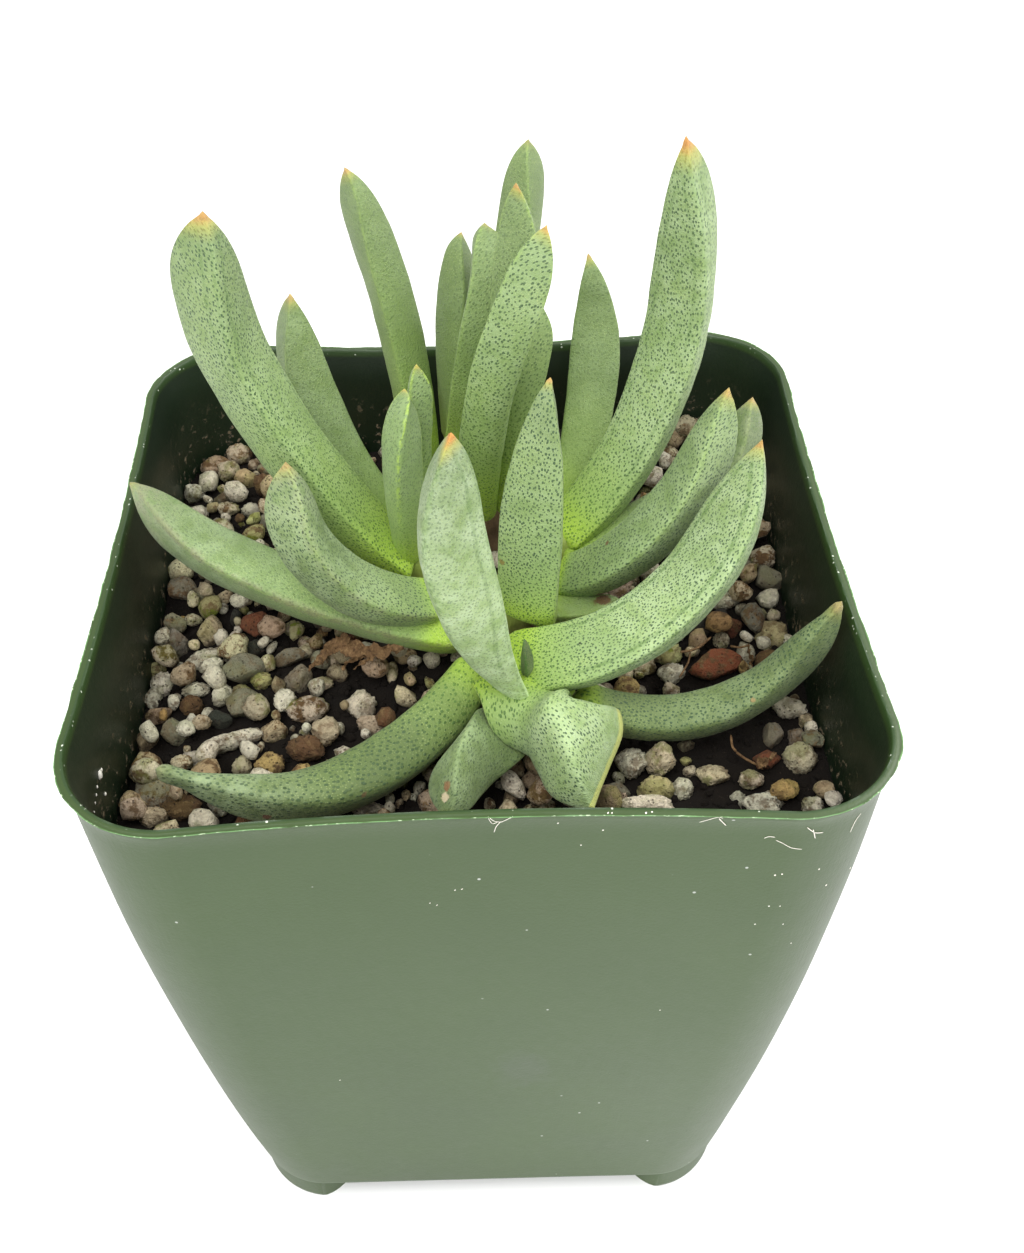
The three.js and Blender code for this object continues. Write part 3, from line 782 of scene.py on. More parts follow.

# Leaves. Each is one fleshy organ, three-sided like the bow of a boat: a flat face that looks up and in, two
# flanks that meet in a keel below, and a short point. They stand in opposite pairs on five shoots.
# root, belly and tip are on the middle of the flat face: where it starts, halfway and at its end. width is
# across the face and depth from there to the keel. roll turns the face about the leaf, in degrees, and twist
# adds to that along its first half, from still on. full and chin say how far along the leaf is widest and
# deepest, foot how wide it starts and neck how deep. A hook over 1 makes the keel jut out at the chin, and
# tuck is how far the foot runs on into the crown. soft is how rounded the margins are, dome how much the face
# swells and blunt how thick the tip is. The rest is colour: age from 0, fresh, to 1, wax for the pale bloom
# and bare for where it starts, lime for how far the yellow-green foot runs up, blush for the orange tip, line
# for the margins, dark below 0 and then with a painted crease shade in from the margin, stripe for a cream
# keel, dots for how dark the dots are, dot for their spacing in millimetres, purple for reddened edges and
# fade for painted light and shade along the leaf: how much lighter the foot and darker the end
# are painted.
LEAF_FORM = {
    "roll": 0, "twist": 0, "still": 0, "full": 0.5, "chin": 0.75, "foot": 0.8, "neck": 0.8, "hook": 1,
    "tuck": 1.0, "soft": 3, "dome": 0.16, "blunt": 0.1,
    "age": 0.3, "wax": 0.5, "bare": 0.2, "lime": 0.3, "blush": 0.6, "line": 0.3, "stripe": 0, "dots": 0.95,
    "dot": 0.33, "purple": 0, "fade": 0.36,
}
LEAVES = {
    "front_leaf_right": dict(
        root=(3.9, -12.3, 71.2), belly=(15.5, -12, 77.3), tip=(23.5, -3, 86), width=6.5, depth=4.2,
        roll=-5, full=0.66, chin=0.65, foot=0.9, tuck=3, soft=4,
        wax=0.7, lime=0.1, blush=0.8, line=-0.8, dots=1, dot=0.26),
    "front_leaf_left": dict(
        root=(3.8, -14.6, 70.4), belly=(-0.5, -18, 87), tip=(-1, -20, 100), width=5.4, depth=4.6,
        roll=-22, twist=34, foot=0.7, neck=0.3, tuck=1.6, soft=4,
        age=0.1, wax=1.1, bare=-0.3, lime=0.06, blush=1.0, line=-0.5, dots=0.4, dot=0.3, fade=0.9),
    "front_leaf_back": dict(
        root=(4.5, -7.5, 71.5), belly=(5, -7, 84), tip=(6.5, -3, 92.5), width=5.4, depth=3.8,
        full=0.25, foot=0.95, age=0.45, wax=0.35, lime=0.12, blush=0.7, dots=1.0, dot=0.28, fade=0.75),
    "front_leaf_near": dict(
        root=(4, -14.4, 70), belly=(5.3, -19.8, 70.1), tip=(8.8, -26, 68.4), width=7.2, depth=7.6,
        roll=-24, twist=107, still=0.1, full=0.4, chin=0.45, foot=1.25, neck=0.15, hook=5, soft=12, dome=0.3,
        age=0.3, wax=0.7, bare=0.25, lime=0.3, blush=0, line=0, stripe=1, dots=0.95, dot=0.3, fade=0.1),
    "left_leaf_young": dict(
        root=(-5.5, 3.5, 70.5), belly=(-5.5, 1, 82), tip=(-5, 2, 88.5), width=3.6, depth=2.8,
        roll=-26, age=0.15, wax=0.3, lime=0.3, blush=0.4, line=1, dots=0.5, dot=0.29),
    "left_leaf_twin": dict(
        root=(-5, 4, 70.5), belly=(-5, 4, 81), tip=(-4, 4, 89.5), width=2.8, depth=2,
        age=0.1, wax=0.2, lime=0.4, blush=0.4, line=1, dots=0.6, dot=0.31),
    "left_leaf_outer": dict(
        root=(-5.5, 2.5, 70), belly=(-15.5, 3, 87), tip=(-19.5, 5, 103), width=6.4, depth=5.2,
        full=0.6, chin=0.8, soft=4,
        age=0.35, wax=0.4, lime=0.36, blush=0.8, line=-0.5, dots=1, dot=0.31, fade=0.6),
    "left_leaf_back": dict(
        root=(-5.5, 5, 69), belly=(-12.5, 10, 79), tip=(-15, 14, 90.5), width=5.4, depth=4.2,
        soft=6, age=0.6, wax=0.3, lime=0.3, dots=0.25),
    "back_leaf_near": dict(
        root=(0.5, 10.5, 70), belly=(2, 5, 89), tip=(6.5, 4, 101.5), width=4.4, depth=3.4,
        age=0.3, wax=0.4, lime=0.4, blush=0.7, dots=0.9, dot=0.33),
    "back_leaf_middle": dict(
        root=(2, 16.5, 70), belly=(4, 13, 89), tip=(4.5, 12, 101), width=4.2, depth=3.6,
        age=0.5, wax=0.2, lime=0.4, blush=0.8, dots=0.4),
    "back_leaf_inner": dict(
        root=(-1.5, 18.5, 70), belly=(0.5, 15, 86.5), tip=(2, 17, 95), width=4.6, depth=4,
        age=0.5, wax=0.2, lime=0.4, blush=0.3, dots=0.4),
    "back_leaf_right": dict(
        root=(3.5, 11, 69.5), belly=(3.5, 9, 83.5), tip=(6, 10, 92), width=4.2, depth=3.4,
        age=0.35, wax=0.1, lime=0.5, blush=0.3, dots=0.7),
    "back_leaf_tall": dict(
        root=(2.3, 19, 68.5), belly=(4, 20, 88.5), tip=(6, 22, 100), width=4.4, depth=3.6,
        soft=5, age=0.6, wax=0.1, lime=0.4, blush=0.2, dots=0.25),
    "back_leaf_left": dict(
        root=(-4, 17.5, 70), belly=(-6, 20, 86), tip=(-10, 22, 98), width=4.4, depth=3.6,
        soft=5, age=0.6, wax=0.15, lime=0.4, blush=0.7, dots=0.25),
    "back_leaf_slim": dict(
        root=(-2, 21.5, 69), belly=(-1.5, 20, 83.5), tip=(0, 23, 91), width=3.8, depth=3.2,
        soft=5, age=0.7, wax=0.1, dots=0.25),
    "right_leaf_outer": dict(
        root=(8.5, 5.5, 70), belly=(17, 10, 84), tip=(18, 13, 104), width=6.2, depth=4.6,
        full=0.6, chin=0.8, age=0.25, wax=0.7, lime=0.18, blush=1.0, line=-0.4, dots=0.9, dot=0.33),
    "right_leaf_back": dict(
        root=(9, 9, 69), belly=(12, 17.5, 79), tip=(11.5, 22, 89), width=4.8, depth=4.2,
        soft=5, age=0.65, wax=0.2, lime=0.3, dots=0.25),
    "middle_leaf_right": dict(
        root=(8, -1, 70.5), belly=(15, -3, 78), tip=(21, 0, 89), width=5.2, depth=4,
        soft=5, age=0.4, wax=0.5, lime=0.04, dots=1.0, dot=0.29),
    "middle_leaf_left": dict(
        root=(-3.5, -3, 70), belly=(-10.5, -6, 76.5), tip=(-14.5, -4, 86), width=5.4, depth=4.2,
        soft=5, age=0.6, wax=0.6, lime=0.06, dots=1.0, dot=0.3, blush=0.5, purple=0.3),
    "low_leaf_left": dict(
        root=(0, -10.5, 68), belly=(-11, -21, 67), tip=(-25.5, -21, 69), width=5, depth=4.2,
        full=0.3, chin=0.35, soft=12, dome=0.5, blunt=0.3,
        line=0, age=1.0, wax=0.7, bare=0.6, lime=0.14, blush=0.1, dots=0.8, dot=0.42),
    "low_leaf_right": dict(
        root=(9.5, -14, 68), belly=(20.5, -13.5, 66.5), tip=(29.5, -12, 76.5), width=4.2, depth=3.4,
        full=0.4, soft=9, dome=0.4, blunt=0.22,
        line=0, age=1.0, wax=0.3, lime=0.04, blush=0.4, dots=1.0, dot=0.33),
    "low_leaf_near": dict(
        root=(3, -15.5, 66.8), belly=(0.2, -20.5, 68.5), tip=(-2.4, -26, 67.8), width=5.8, depth=3.8,
        roll=-25, twist=-40, full=0.4, chin=0.7, foot=0.9, neck=0.4, hook=3, soft=9,
        age=0.75, wax=0.4, lime=0.1, blush=0.3, line=0, dots=0.6, dot=0.3),
    "far_leaf_right": dict(
        root=(9, 4.5, 69), belly=(20, 6, 74), tip=(25.5, 10, 81), width=5, depth=4,
        soft=5, age=0.8, wax=0.4, lime=0.2, dots=0.4, purple=0.3),
    "far_leaf_left": dict(
        root=(-3, -4.5, 68), belly=(-18.5, -2, 73.5), tip=(-30, 5, 77.5), width=5.2, depth=4.6,
        tuck=3.5, soft=8, blunt=0.15, age=0.5, wax=0.6, bare=0.4, lime=0.07, blush=0.2, dots=0.3, purple=0.7),
    "short_leaf_right": dict(
        root=(6, -3.5, 69), belly=(9.5, -4, 69.5), tip=(13, -3, 69), width=3, depth=2.6,
        soft=6, age=0.2, wax=0.5, bare=-0.5, lime=1.2, dots=0.1, blush=0),
    # The bud's old tone, dense dots and dark lines paint it darker, as painted shade deep between the leaves
    "front_bud": dict(
        root=(4.2, -12.9, 70.5), belly=(4.3, -14.1, 73.1), tip=(4, -14.2, 75.6), width=1.2, depth=0.9,
        age=1, wax=0, lime=0.1, blush=0, line=-1.4, dots=1, dot=0.16),
}

# How the outline narrows to the tip and the keel rises to it, the section under the face, from round at the
# foot to nearly a triangle, how far the tip is lifted, and where the twist ends and the tip closes
TAPER_POWER = 2.4
KEEL_POWER = 3
ROUNDNESS = {"foot": 2, "blade": 1.35, "reached": 0.6}
TIP_LIFT = {"share": 0.22, "start": 0.6}
TWIST_END = 0.5
TIP_START = 0.97
RINGS_PER_MM = 1.9
RING_CROWDING = 0.4
FOOT_DOME = (0.98, 0.85, 0.6, 0.3)
LEAF_SIDES = 48
QUARTER = LEAF_SIDES // 4
LEAF_WAVE = 0.13
LEAF_TONES = ("age", "wax", "bare", "lime", "blush", "line", "stripe", "dots", "purple", "fade")
SKIN_MARKS = [
    # (column, row, radius, colour): small scars and scabs
    (580, 643, 0.16, (0.008, 0.012, 0.006)), (502, 562, 0.35, (0.22, 0.17, 0.04)),
    (607, 543, 0.25, (0.16, 0.09, 0.04)), (753, 700, 0.27, (0.30, 0.22, 0.09)),
    (267, 817, 0.4, (0.15, 0.06, 0.03)), (285, 788, 0.2, (0.03, 0.06, 0.02)),
    (364, 795, 0.3, (0.16, 0.11, 0.05)), (447, 786, 0.5, (0.24, 0.12, 0.05)),
    (445, 797, 0.45, (0.62, 0.52, 0.33)), (604, 600, 0.9, (0.16, 0.075, 0.035)),
]


def leaf_curve(leaf, along):
    """A point on the leaf's flat face and the direction there."""
    root, belly, tip = (np.array(leaf[name], float) for name in ("root", "belly", "tip"))
    control = 2 * belly - (root + tip) / 2
    point = (1 - along) ** 2 * root + 2 * along * (1 - along) * control + along**2 * tip
    ahead = 2 * (1 - along) * (control - root) + 2 * along * (tip - control)
    return point, ahead / np.linalg.norm(ahead)


def leaf_section(leaf, along):
    """Half the width of the face, the depth to the keel and how round the flanks are."""
    if along < leaf["full"]:
        wide = leaf["foot"] + (1 - leaf["foot"]) * (1 - (1 - along / leaf["full"]) ** 2)
    else:
        wide = 1 - ((along - leaf["full"]) / (1 - leaf["full"])) ** TAPER_POWER
    if along < leaf["chin"]:
        deep = leaf["neck"] + (1 - leaf["neck"]) * (1 - (1 - (along / leaf["chin"]) ** leaf["hook"]) ** 2)
    else:
        deep = 1 - ((along - leaf["chin"]) / (1 - leaf["chin"])) ** KEEL_POWER
    closing = math.sqrt(1 - max(0, (along - TIP_START) / (1 - TIP_START)) ** 2)
    wide = max(wide, leaf["blunt"]) * closing
    deep = max(deep, leaf["blunt"]) * closing
    flattened = min(1, along / ROUNDNESS["reached"])
    roundness = ROUNDNESS["foot"] + (ROUNDNESS["blade"] - ROUNDNESS["foot"]) * flattened
    return leaf["width"] / 2 * max(wide, 0.01), leaf["depth"] * max(deep, 0.01), roundness


def smooth_step(value):
    value = min(1, max(0, value))
    return value * value * (3 - 2 * value)


def leaf_axes(leaf, along, ahead):
    """Across the face, and up from it."""
    outwards = np.array(leaf["tip"], float) - np.array(leaf["root"], float)
    outwards[2] = 0
    up = np.array([0, 0, 1.0]) - outwards / np.linalg.norm(outwards)
    face = up - ahead * up.dot(ahead)
    face /= np.linalg.norm(face)
    turned = smooth_step((along - leaf["still"]) / (TWIST_END - leaf["still"]))
    roll = math.radians(leaf["roll"] + leaf["twist"] * turned)
    face = face * math.cos(roll) + np.cross(ahead, face) * math.sin(roll)
    return np.cross(ahead, face), face


def leaf_length(leaf):
    points = np.array([leaf_curve(leaf, along)[0] for along in np.linspace(0, 1, 30)])
    return np.linalg.norm(np.diff(points, axis=0), axis=1).sum()


def leaf_rings(leaf, seed):
    """The skin's rings, and for each ring its share of the leaf's length, its millimetres along the leaf
    and the millimetres travelled round it."""
    rings, shares, lengths, travelled = [], [], [0.0], []
    turn = -2 * math.pi * np.arange(LEAF_SIDES) / LEAF_SIDES
    cosine, sine = np.cos(turn), np.sin(turn)
    over = sine > 1e-9
    even = np.linspace(0, 1, round(leaf_length(leaf) * RINGS_PER_MM) + 1)
    blade = (1 - RING_CROWDING) * even + RING_CROWDING * 0.5 * (1 - np.cos(math.pi * even))
    foot = [(0, leaf["tuck"] * share, math.sqrt(1 - share**2)) for share in FOOT_DOME]
    for along, back, size in foot + [(along, 0, 1) for along in blade]:
        point, ahead = leaf_curve(leaf, along)
        across, face = leaf_axes(leaf, along, ahead)
        half, keel, roundness = leaf_section(leaf, along)
        lift = TIP_LIFT["share"] * keel * smooth_step((along - TIP_LIFT["start"]) / (1 - TIP_LIFT["start"]))
        power = np.where(over, 1, 2 / roundness)
        x = half * np.sign(cosine) * np.abs(cosine) ** power * size
        y = np.where(over, leaf["dome"] * half * sine, -keel * np.abs(sine) ** power) * size
        middle_depth = keel * 0.4 * (1 - size)
        ring = point - ahead * back + np.outer(x, across) + np.outer(y + lift - middle_depth, face)
        for _ in range(leaf["soft"]):
            ring = ring / 2 + (np.roll(ring, 1, axis=0) + np.roll(ring, -1, axis=0)) / 4
        middle = ring.mean(axis=0)
        outwards = ring - middle
        outwards /= np.linalg.norm(outwards, axis=1)[:, None]
        calm = min(1, along * 6) * min(1, (1 - along) * 5)
        for spot, out in zip(ring, outwards):
            wave = ripple(spot, 5.5, seed) + 0.35 * ripple(spot, 1.6, seed + 4)
            spot += out * LEAF_WAVE * calm * wave
        if rings:
            lengths.append(lengths[-1] + np.linalg.norm(middle - before))
        before = middle
        steps = np.linalg.norm(np.diff(ring, axis=0, append=ring[:1]), axis=1)
        rings.append(ring)
        shares.append(along)
        travelled.append(np.concatenate([[0], np.cumsum(steps)]))
    return rings, shares, np.array(lengths), np.array(travelled)


def skin_map(lengths, travelled, spacing, start):
    """A place on the map for each face's corners, in dots round the leaf from its keel and along it."""
    corners = []
    for ring in range(len(lengths) - 1):
        for side in range(LEAF_SIDES):
            beside = side + 1
            corners += [(ring, side, side), (ring, beside, side)]
            corners += [(ring + 1, beside, side), (ring + 1, side, side)]
    for side in range(LEAF_SIDES):
        corners += [(0, side + 1, side), (0, side + 1, side), (0, side, side)]
        corners += [(-1, side, side), (-1, side, side), (-1, side + 1, side)]
    ring, position, side = np.array(corners).T
    past_keel = np.where(side < QUARTER, travelled[ring, -1], 0)
    round_it = travelled[ring, position] + past_keel - travelled[ring, 3 * QUARTER]
    return np.column_stack([round_it / spacing + start, lengths[ring] / spacing])


def make_leaf(name, leaf, seed):
    """The leaf, with the distances and tones that its skin's colours follow."""
    rings, shares, lengths, travelled = leaf_rings(leaf, seed)
    piece = new_piece(name, *loft(rings))
    here, total = travelled[:, :-1], travelled[:, -1:]
    from_keel = np.abs(here - travelled[:, [QUARTER]])
    from_margin = np.minimum(np.minimum(here, total - here), np.abs(here - travelled[:, [2 * QUARTER]]))
    values = {
        "along": np.append(np.repeat(shares, LEAF_SIDES), (0, 1)),
        "margin_mm": np.append(from_margin, (0, 0)),
        "keel_mm": np.append(np.minimum(from_keel, total - from_keel), (0, 0)),
        **{key: np.full(len(piece.data.vertices), leaf[key]) for key in LEAF_TONES},
    }
    for key, numbers in values.items():
        write_values(piece.data, key, numbers)
    layer = piece.data.uv_layers.new(name="skin_mm")
    places = skin_map(lengths, travelled, leaf["dot"], seed * 7.3)
    layer.data.foreach_set("uv", places.ravel().astype(np.float32))
    return piece


def leaf_skin(marks):
    finish = Finish("leaf_skin", {
        "IOR": 1.4, "Subsurface Weight": 0.12, "Subsurface Radius": (0.9, 1.0, 0.35), "Subsurface Scale": MM,
        "Sheen Weight": 0.06, "Sheen Roughness": 0.5,
    })
    place = finish.place()
    skin = Wire(finish, finish.add("ShaderNodeUVMap", {"uv_map": "skin_mm"}).outputs[0])
    along, margin, keel = (finish.attribute(name) for name in ("along", "margin_mm", "keel_mm"))
    tones = (finish.attribute(name) for name in LEAF_TONES)
    age, wax, bare, lime, blush, line, stripe, dots, purple, fade = tones

    broad = finish.noise(place, 0.16, 3, 0.6)
    patch = finish.noise(place, 0.6, 4, 0.6)
    fine = finish.noise(place, 2.6, 4, 0.65)
    grain = finish.noise(place, 7.0, 2, 0.6)

    # Flesh: lime at the foot, then yellow-green, then a waxy grey-green that dulls with age
    finish.colour = finish.mix(age, (0.235, 0.345, 0.128), (0.100, 0.145, 0.046))
    finish.cover(finish.ramp(broad, 0.35, 0.7) * 0.5 * (1 - age * 0.6), (0.240, 0.340, 0.110))
    reach = lime * (0.75 + broad * 0.5)
    yellow = finish.ramp(along / (reach * 1.9 + 0.02), 1, 0)
    finish.cover(yellow * (0.7 - age * 0.3), (0.22, 0.34, 0.05))
    sour = finish.ramp(along / (reach * 0.6 + 0.02), 1, 0)
    finish.cover(sour * (0.75 - age * 0.3), (0.26, 0.40, 0.012))

    # Bloom: pale wax in patches, thicker in the upper half
    bloom = wax * finish.ramp(patch + broad * 0.4, 0.45, 0.95) * finish.ramp(along - bare, -0.1, 0.25)
    finish.cover(bloom * 0.8, (0.42, 0.53, 0.31))
    # Pale flecks on a share of the skin's tiny bumps are painted glints
    glint, chance = finish.cells(skin, 1.9, "2D")
    fleck = finish.ramp(glint, 0.35, 0.15) * finish.ramp(chance, 0.45, 0.7)
    fleck = fleck * (0.25 + finish.ramp(broad, 0.45, 0.6) * 0.3) * (1 - age * 0.4)
    finish.cover(fleck, (0.43, 0.50, 0.2))
    # Painted light and shade along the leaf: the foot is painted lighter and the end darker
    finish.colour = finish.vector("SCALE", finish.colour, scale=1.02 + fade * 0.5 - along * fade)

    # Dots: dark green windows in the skin, a little longer than wide, none of them quite alike
    drift = finish.add("ShaderNodeTexNoise", {}, {"Vector": skin, "Scale": 0.5, "Detail": 1.0}).outputs[1]
    drift = finish.vector("SCALE", finish.vector("SUBTRACT", drift, (0.5, 0.5, 0.5)), scale=0.6)
    longer = finish.vector("MULTIPLY", finish.vector("ADD", skin, drift), (1, 0.78, 1))
    turned = finish.add("ShaderNodeVectorRotate", {"rotation_type": "Z_AXIS"}, {
        "Vector": longer, "Angle": 0.5})
    dot, own = finish.cells(turned.outputs[0], 1.0, "2D", randomness=0.85)
    radius = 0.15 + own * 0.15
    window = finish.ramp(dot - radius, 0.08, -0.07)
    window = window * (0.65 + finish.ramp(patch, 0.3, 0.6) * 0.35)
    dot_colour = finish.mix(yellow, (0.030, 0.070, 0.028), (0.06, 0.15, 0.015))
    veiled = finish.ramp(keel, 4.0, 2.0) * stripe
    finish.cover(window * dots * (1 - veiled) * 0.92, dot_colour)

    # Margins and keel: thin green lines that break up, yellow where the skin is thin
    breaks = finish.ramp(finish.noise(skin, 0.45, 2, 0.6), 0.42, 0.6)
    edge = finish.ramp(margin, 0.22, 0.05) * (0.3 + breaks * 0.7) * line
    spine = finish.ramp(keel, 0.32, 0.05) * breaks * finish.ramp(along, 0.15, 0.35) * line
    # A darker line about 1.25 mm in from the margin, where the leaf bends, is painted shade of the crease
    bend = finish.maths("ABSOLUTE", margin + patch * 0.3 - 1.25)
    painted_crease_shade = finish.ramp(bend, 0.28, 0.06) * (0.4 + breaks * 0.6) * finish.ramp(along, 0.08, 0.2) * line
    finish.cover((edge * 0.7 + spine).limit(), (0.33, 0.47, 0.10))
    finish.cover((edge * -0.7 - spine * 0.8 - painted_crease_shade * 0.75).limit(), (0.06, 0.13, 0.025))

    cream = finish.ramp(keel + patch * 0.3, 1.5, 1.1) * finish.ramp(along, 0.36, 0.42) * stripe
    finish.cover(cream * 0.8, (0.55, 0.58, 0.16))
    for spot, radius, mark_colour in marks:
        ragged = (patch - 0.5) * (radius * 1.2) + (fine - 0.5) * (radius * 1.5)
        away = finish.vector("DISTANCE", place, spot) + ragged
        finish.cover(finish.ramp(away, radius, radius * 0.6) * 0.9, mark_colour)

    # Old leaves redden along the edges and towards the tip
    rim = finish.maths("MAXIMUM", finish.ramp(margin, 0.9, 0.1), finish.ramp(along, 0.7, 0.98))
    dusk = purple * rim * finish.ramp(patch, 0.35, 0.6)
    finish.cover(dusk * 0.55, (0.19, 0.12, 0.1))

    # Tips: a little yellow, then a dry orange-brown point
    tip = finish.ramp(along + patch * 0.03, 0.945, 1.0) * blush
    finish.cover(tip * 0.75, (0.42, 0.38, 0.08))
    point = finish.ramp(along + fine * 0.015, 0.972, 0.997) * blush
    finish.cover(point * 0.9, finish.mix(age, (0.46, 0.19, 0.04), (0.38, 0.22, 0.12)))

    pimple = finish.ramp(glint, 0.5, 0.1)
    rough = 0.56 + bloom * 0.12 - window * 0.06 + grain * 0.08
    return finish.done(rough, window * 0.8 + pimple * 0.4 + fine * 0.8, 0.045)


leaf_pieces = {}
for number, (node, own) in enumerate(LEAVES.items()):
    leaf_pieces[node] = make_leaf("fleshy_" + node, {**LEAF_FORM, **own}, number + 1)
leaf_skins = [searchable(piece) for piece in leaf_pieces.values()]
skin_material = leaf_skin([
    (tuple(seen_on(leaf_skins, column, row)[0]), radius, mark_colour)
    for column, row, radius, mark_colour in SKIN_MARKS])
for node, piece in leaf_pieces.items():
    piece.data.materials.append(skin_material)
    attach(piece, "root")
    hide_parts(node)

# Litter. Dry brown sheaths of old leaves, crumpled and torn, lie under the left leaves and among the grit
# at the right, with a few dead rootlets. They are thin as paper and have dropped off the plant.
SHEATHS = [
    # (heights of the ends, half width, spots of the picture that it passes)
    (64.4, 66.6, 0.85, ((311, 671), (318, 660), (327, 648), (338, 641), (350, 640))),
    (65.6, 66.8, 0.75, ((333, 646), (348, 649), (366, 651), (384, 651), (402, 646))),
    (64.8, 66.0, 0.45, ((340, 670), (347, 662), (356, 655), (366, 653))),
    (64.6, 66.0, 0.3, ((352, 672), (360, 662), (372, 656))),
    (64.2, 65.2, 0.35, ((747, 644), (750, 652), (753, 664))),
    (63.2, 64.0, 0.5, ((756, 766), (766, 762), (777, 754))),
]
ROOTLETS = [
    # (heights of the ends, radius, spots of the picture that it passes)
    (65.4, 65.2, 0.11, ((680, 652), (690, 651), (700, 647), (711, 637))),
    (65.2, 64.6, 0.09, ((690, 652), (689, 662), (679, 678))),
    (64.4, 63.2, 0.11, ((731, 735), (732, 748), (742, 757), (757, 765))),
    (64.6, 64.8, 0.1, ((730, 646), (740, 648), (749, 645))),
]
SHEATH_ROWS = 44
SHEATH_POINTS = 14
SHEATH_LEAN = (0.1, 0.72, 0.68)
PAPER = (0, -0.05, 0.1)


def seen_at(column, row, height):
    """The spot at that height which shows at that column and row of the picture."""
    ray = picture_ray(column, row)
    start = CAMERA_AT / MM
    spot = start + ray * ((height - start.z) / ray.z)
    return spot.x, spot.y


def picture_path(low, high, spots):
    """A path that starts at one height, ends at another and shows along those spots of the picture."""
    heights = np.linspace(low, high, len(spots))
    return np.array([(*seen_at(*spot, height), height) for spot, height in zip(spots, heights)])


def sheath(low, high, half_width, spots, seed):
    """A crumpled strip with torn edges, as two skins a paper's thickness apart."""
    path = picture_path(low, high, spots)
    rows = []
    for share in np.linspace(0, 1, SHEATH_ROWS):
        step = share * (len(path) - 1)
        middle = np.array([np.interp(step, range(len(path)), path[:, axis]) for axis in range(3)])
        torn = 0.75 + 0.5 * ripple((step * 3, 0, 0), 1.3, seed) + 0.3 * ripple((step * 9, 0, 0), 1.1, seed)
        reach = half_width * max(0.2, torn) * min(1, 0.35 + 6 * share, 0.35 + 6 * (1 - share))
        row = middle + np.outer(np.linspace(-reach, reach, SHEATH_POINTS), SHEATH_LEAN)
        for spot in row:
            spot += 0.5 * np.array([ripple(spot, 1.1, seed + axis) for axis in (1, 2, 3)])
            spot += 0.22 * np.array([ripple(spot, 0.4, seed + axis) for axis in (4, 5, 6)])
        rows.append(np.concatenate([row, row[::-1] - PAPER]))
    return loft(rows)


def dry_brown():
    finish = Finish("dry_brown", {"Specular IOR Level": 0.25})
    place = finish.place()
    cloud = finish.noise(place, 0.9, 3)
    fibre = finish.noise(place, 3.4, 4, 0.7)
    finish.colour = finish.mix(cloud, (0.045, 0.024, 0.010), (0.22, 0.125, 0.055))
    finish.cover(finish.ramp(fibre, 0.52, 0.66) * 0.5, (0.34, 0.22, 0.10))
    finish.cover(finish.ramp(fibre, 0.46, 0.34) * 0.7, (0.03, 0.016, 0.007))
    return finish.done(0.8, fibre + cloud * 0.5, 0.15)


litter_parts = [sheath(*shape, seed) for seed, shape in enumerate(SHEATHS)]
litter_parts += [tube(picture_path(low, high, spots), radius) for low, high, radius, spots in ROOTLETS]
litter = joined("dry_litter", litter_parts)
litter.data.materials.append(dry_brown())
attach(litter, "root")
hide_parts("soil")

# Grit. A top dressing of crushed pumice, perlite and mixed stone, 2 to 5 mm, poured over the peat round the
# plant. Each stone rests on the peat or on the stones under it, and none lies in a leaf. Those that are seen
# best are placed by the spot where they show: kind, column and row of the picture, length and width in
# millimetres and their turn in degrees. The rest is poured at random.
# form is the shape, and spread says how much the colour varies
Kind = namedtuple("Kind", "form colour spread growth stain")
STONE_KINDS = {
    "white": Kind("lump", (0.80, 0.74, 0.56), 0.06, 0.35, 0.45),
    "cream": Kind("lump", (0.66, 0.57, 0.37), 0.12, 0.6, 0.8),
    "tan": Kind("crushed", (0.47, 0.36, 0.21), 0.15, 0.3, 0.8),
    "pink": Kind("lump", (0.52, 0.41, 0.27), 0.12, 0.1, 1.0),
    "grey": Kind("crushed", (0.27, 0.25, 0.17), 0.15, 0.2, 0.6),
    "slate": Kind("crushed", (0.04, 0.04, 0.03), 0.25, 0.0, 0.1),
    "red": Kind("crushed", (0.22, 0.075, 0.035), 0.2, 0.0, 0.8),
    "ochre": Kind("lump", (0.50, 0.32, 0.12), 0.15, 0.2, 1.0),
    "olive": Kind("lump", (0.48, 0.45, 0.20), 0.15, 1.0, 0.6),
    "brown": Kind("lump", (0.13, 0.07, 0.03), 0.2, 0.1, 0.8),
}
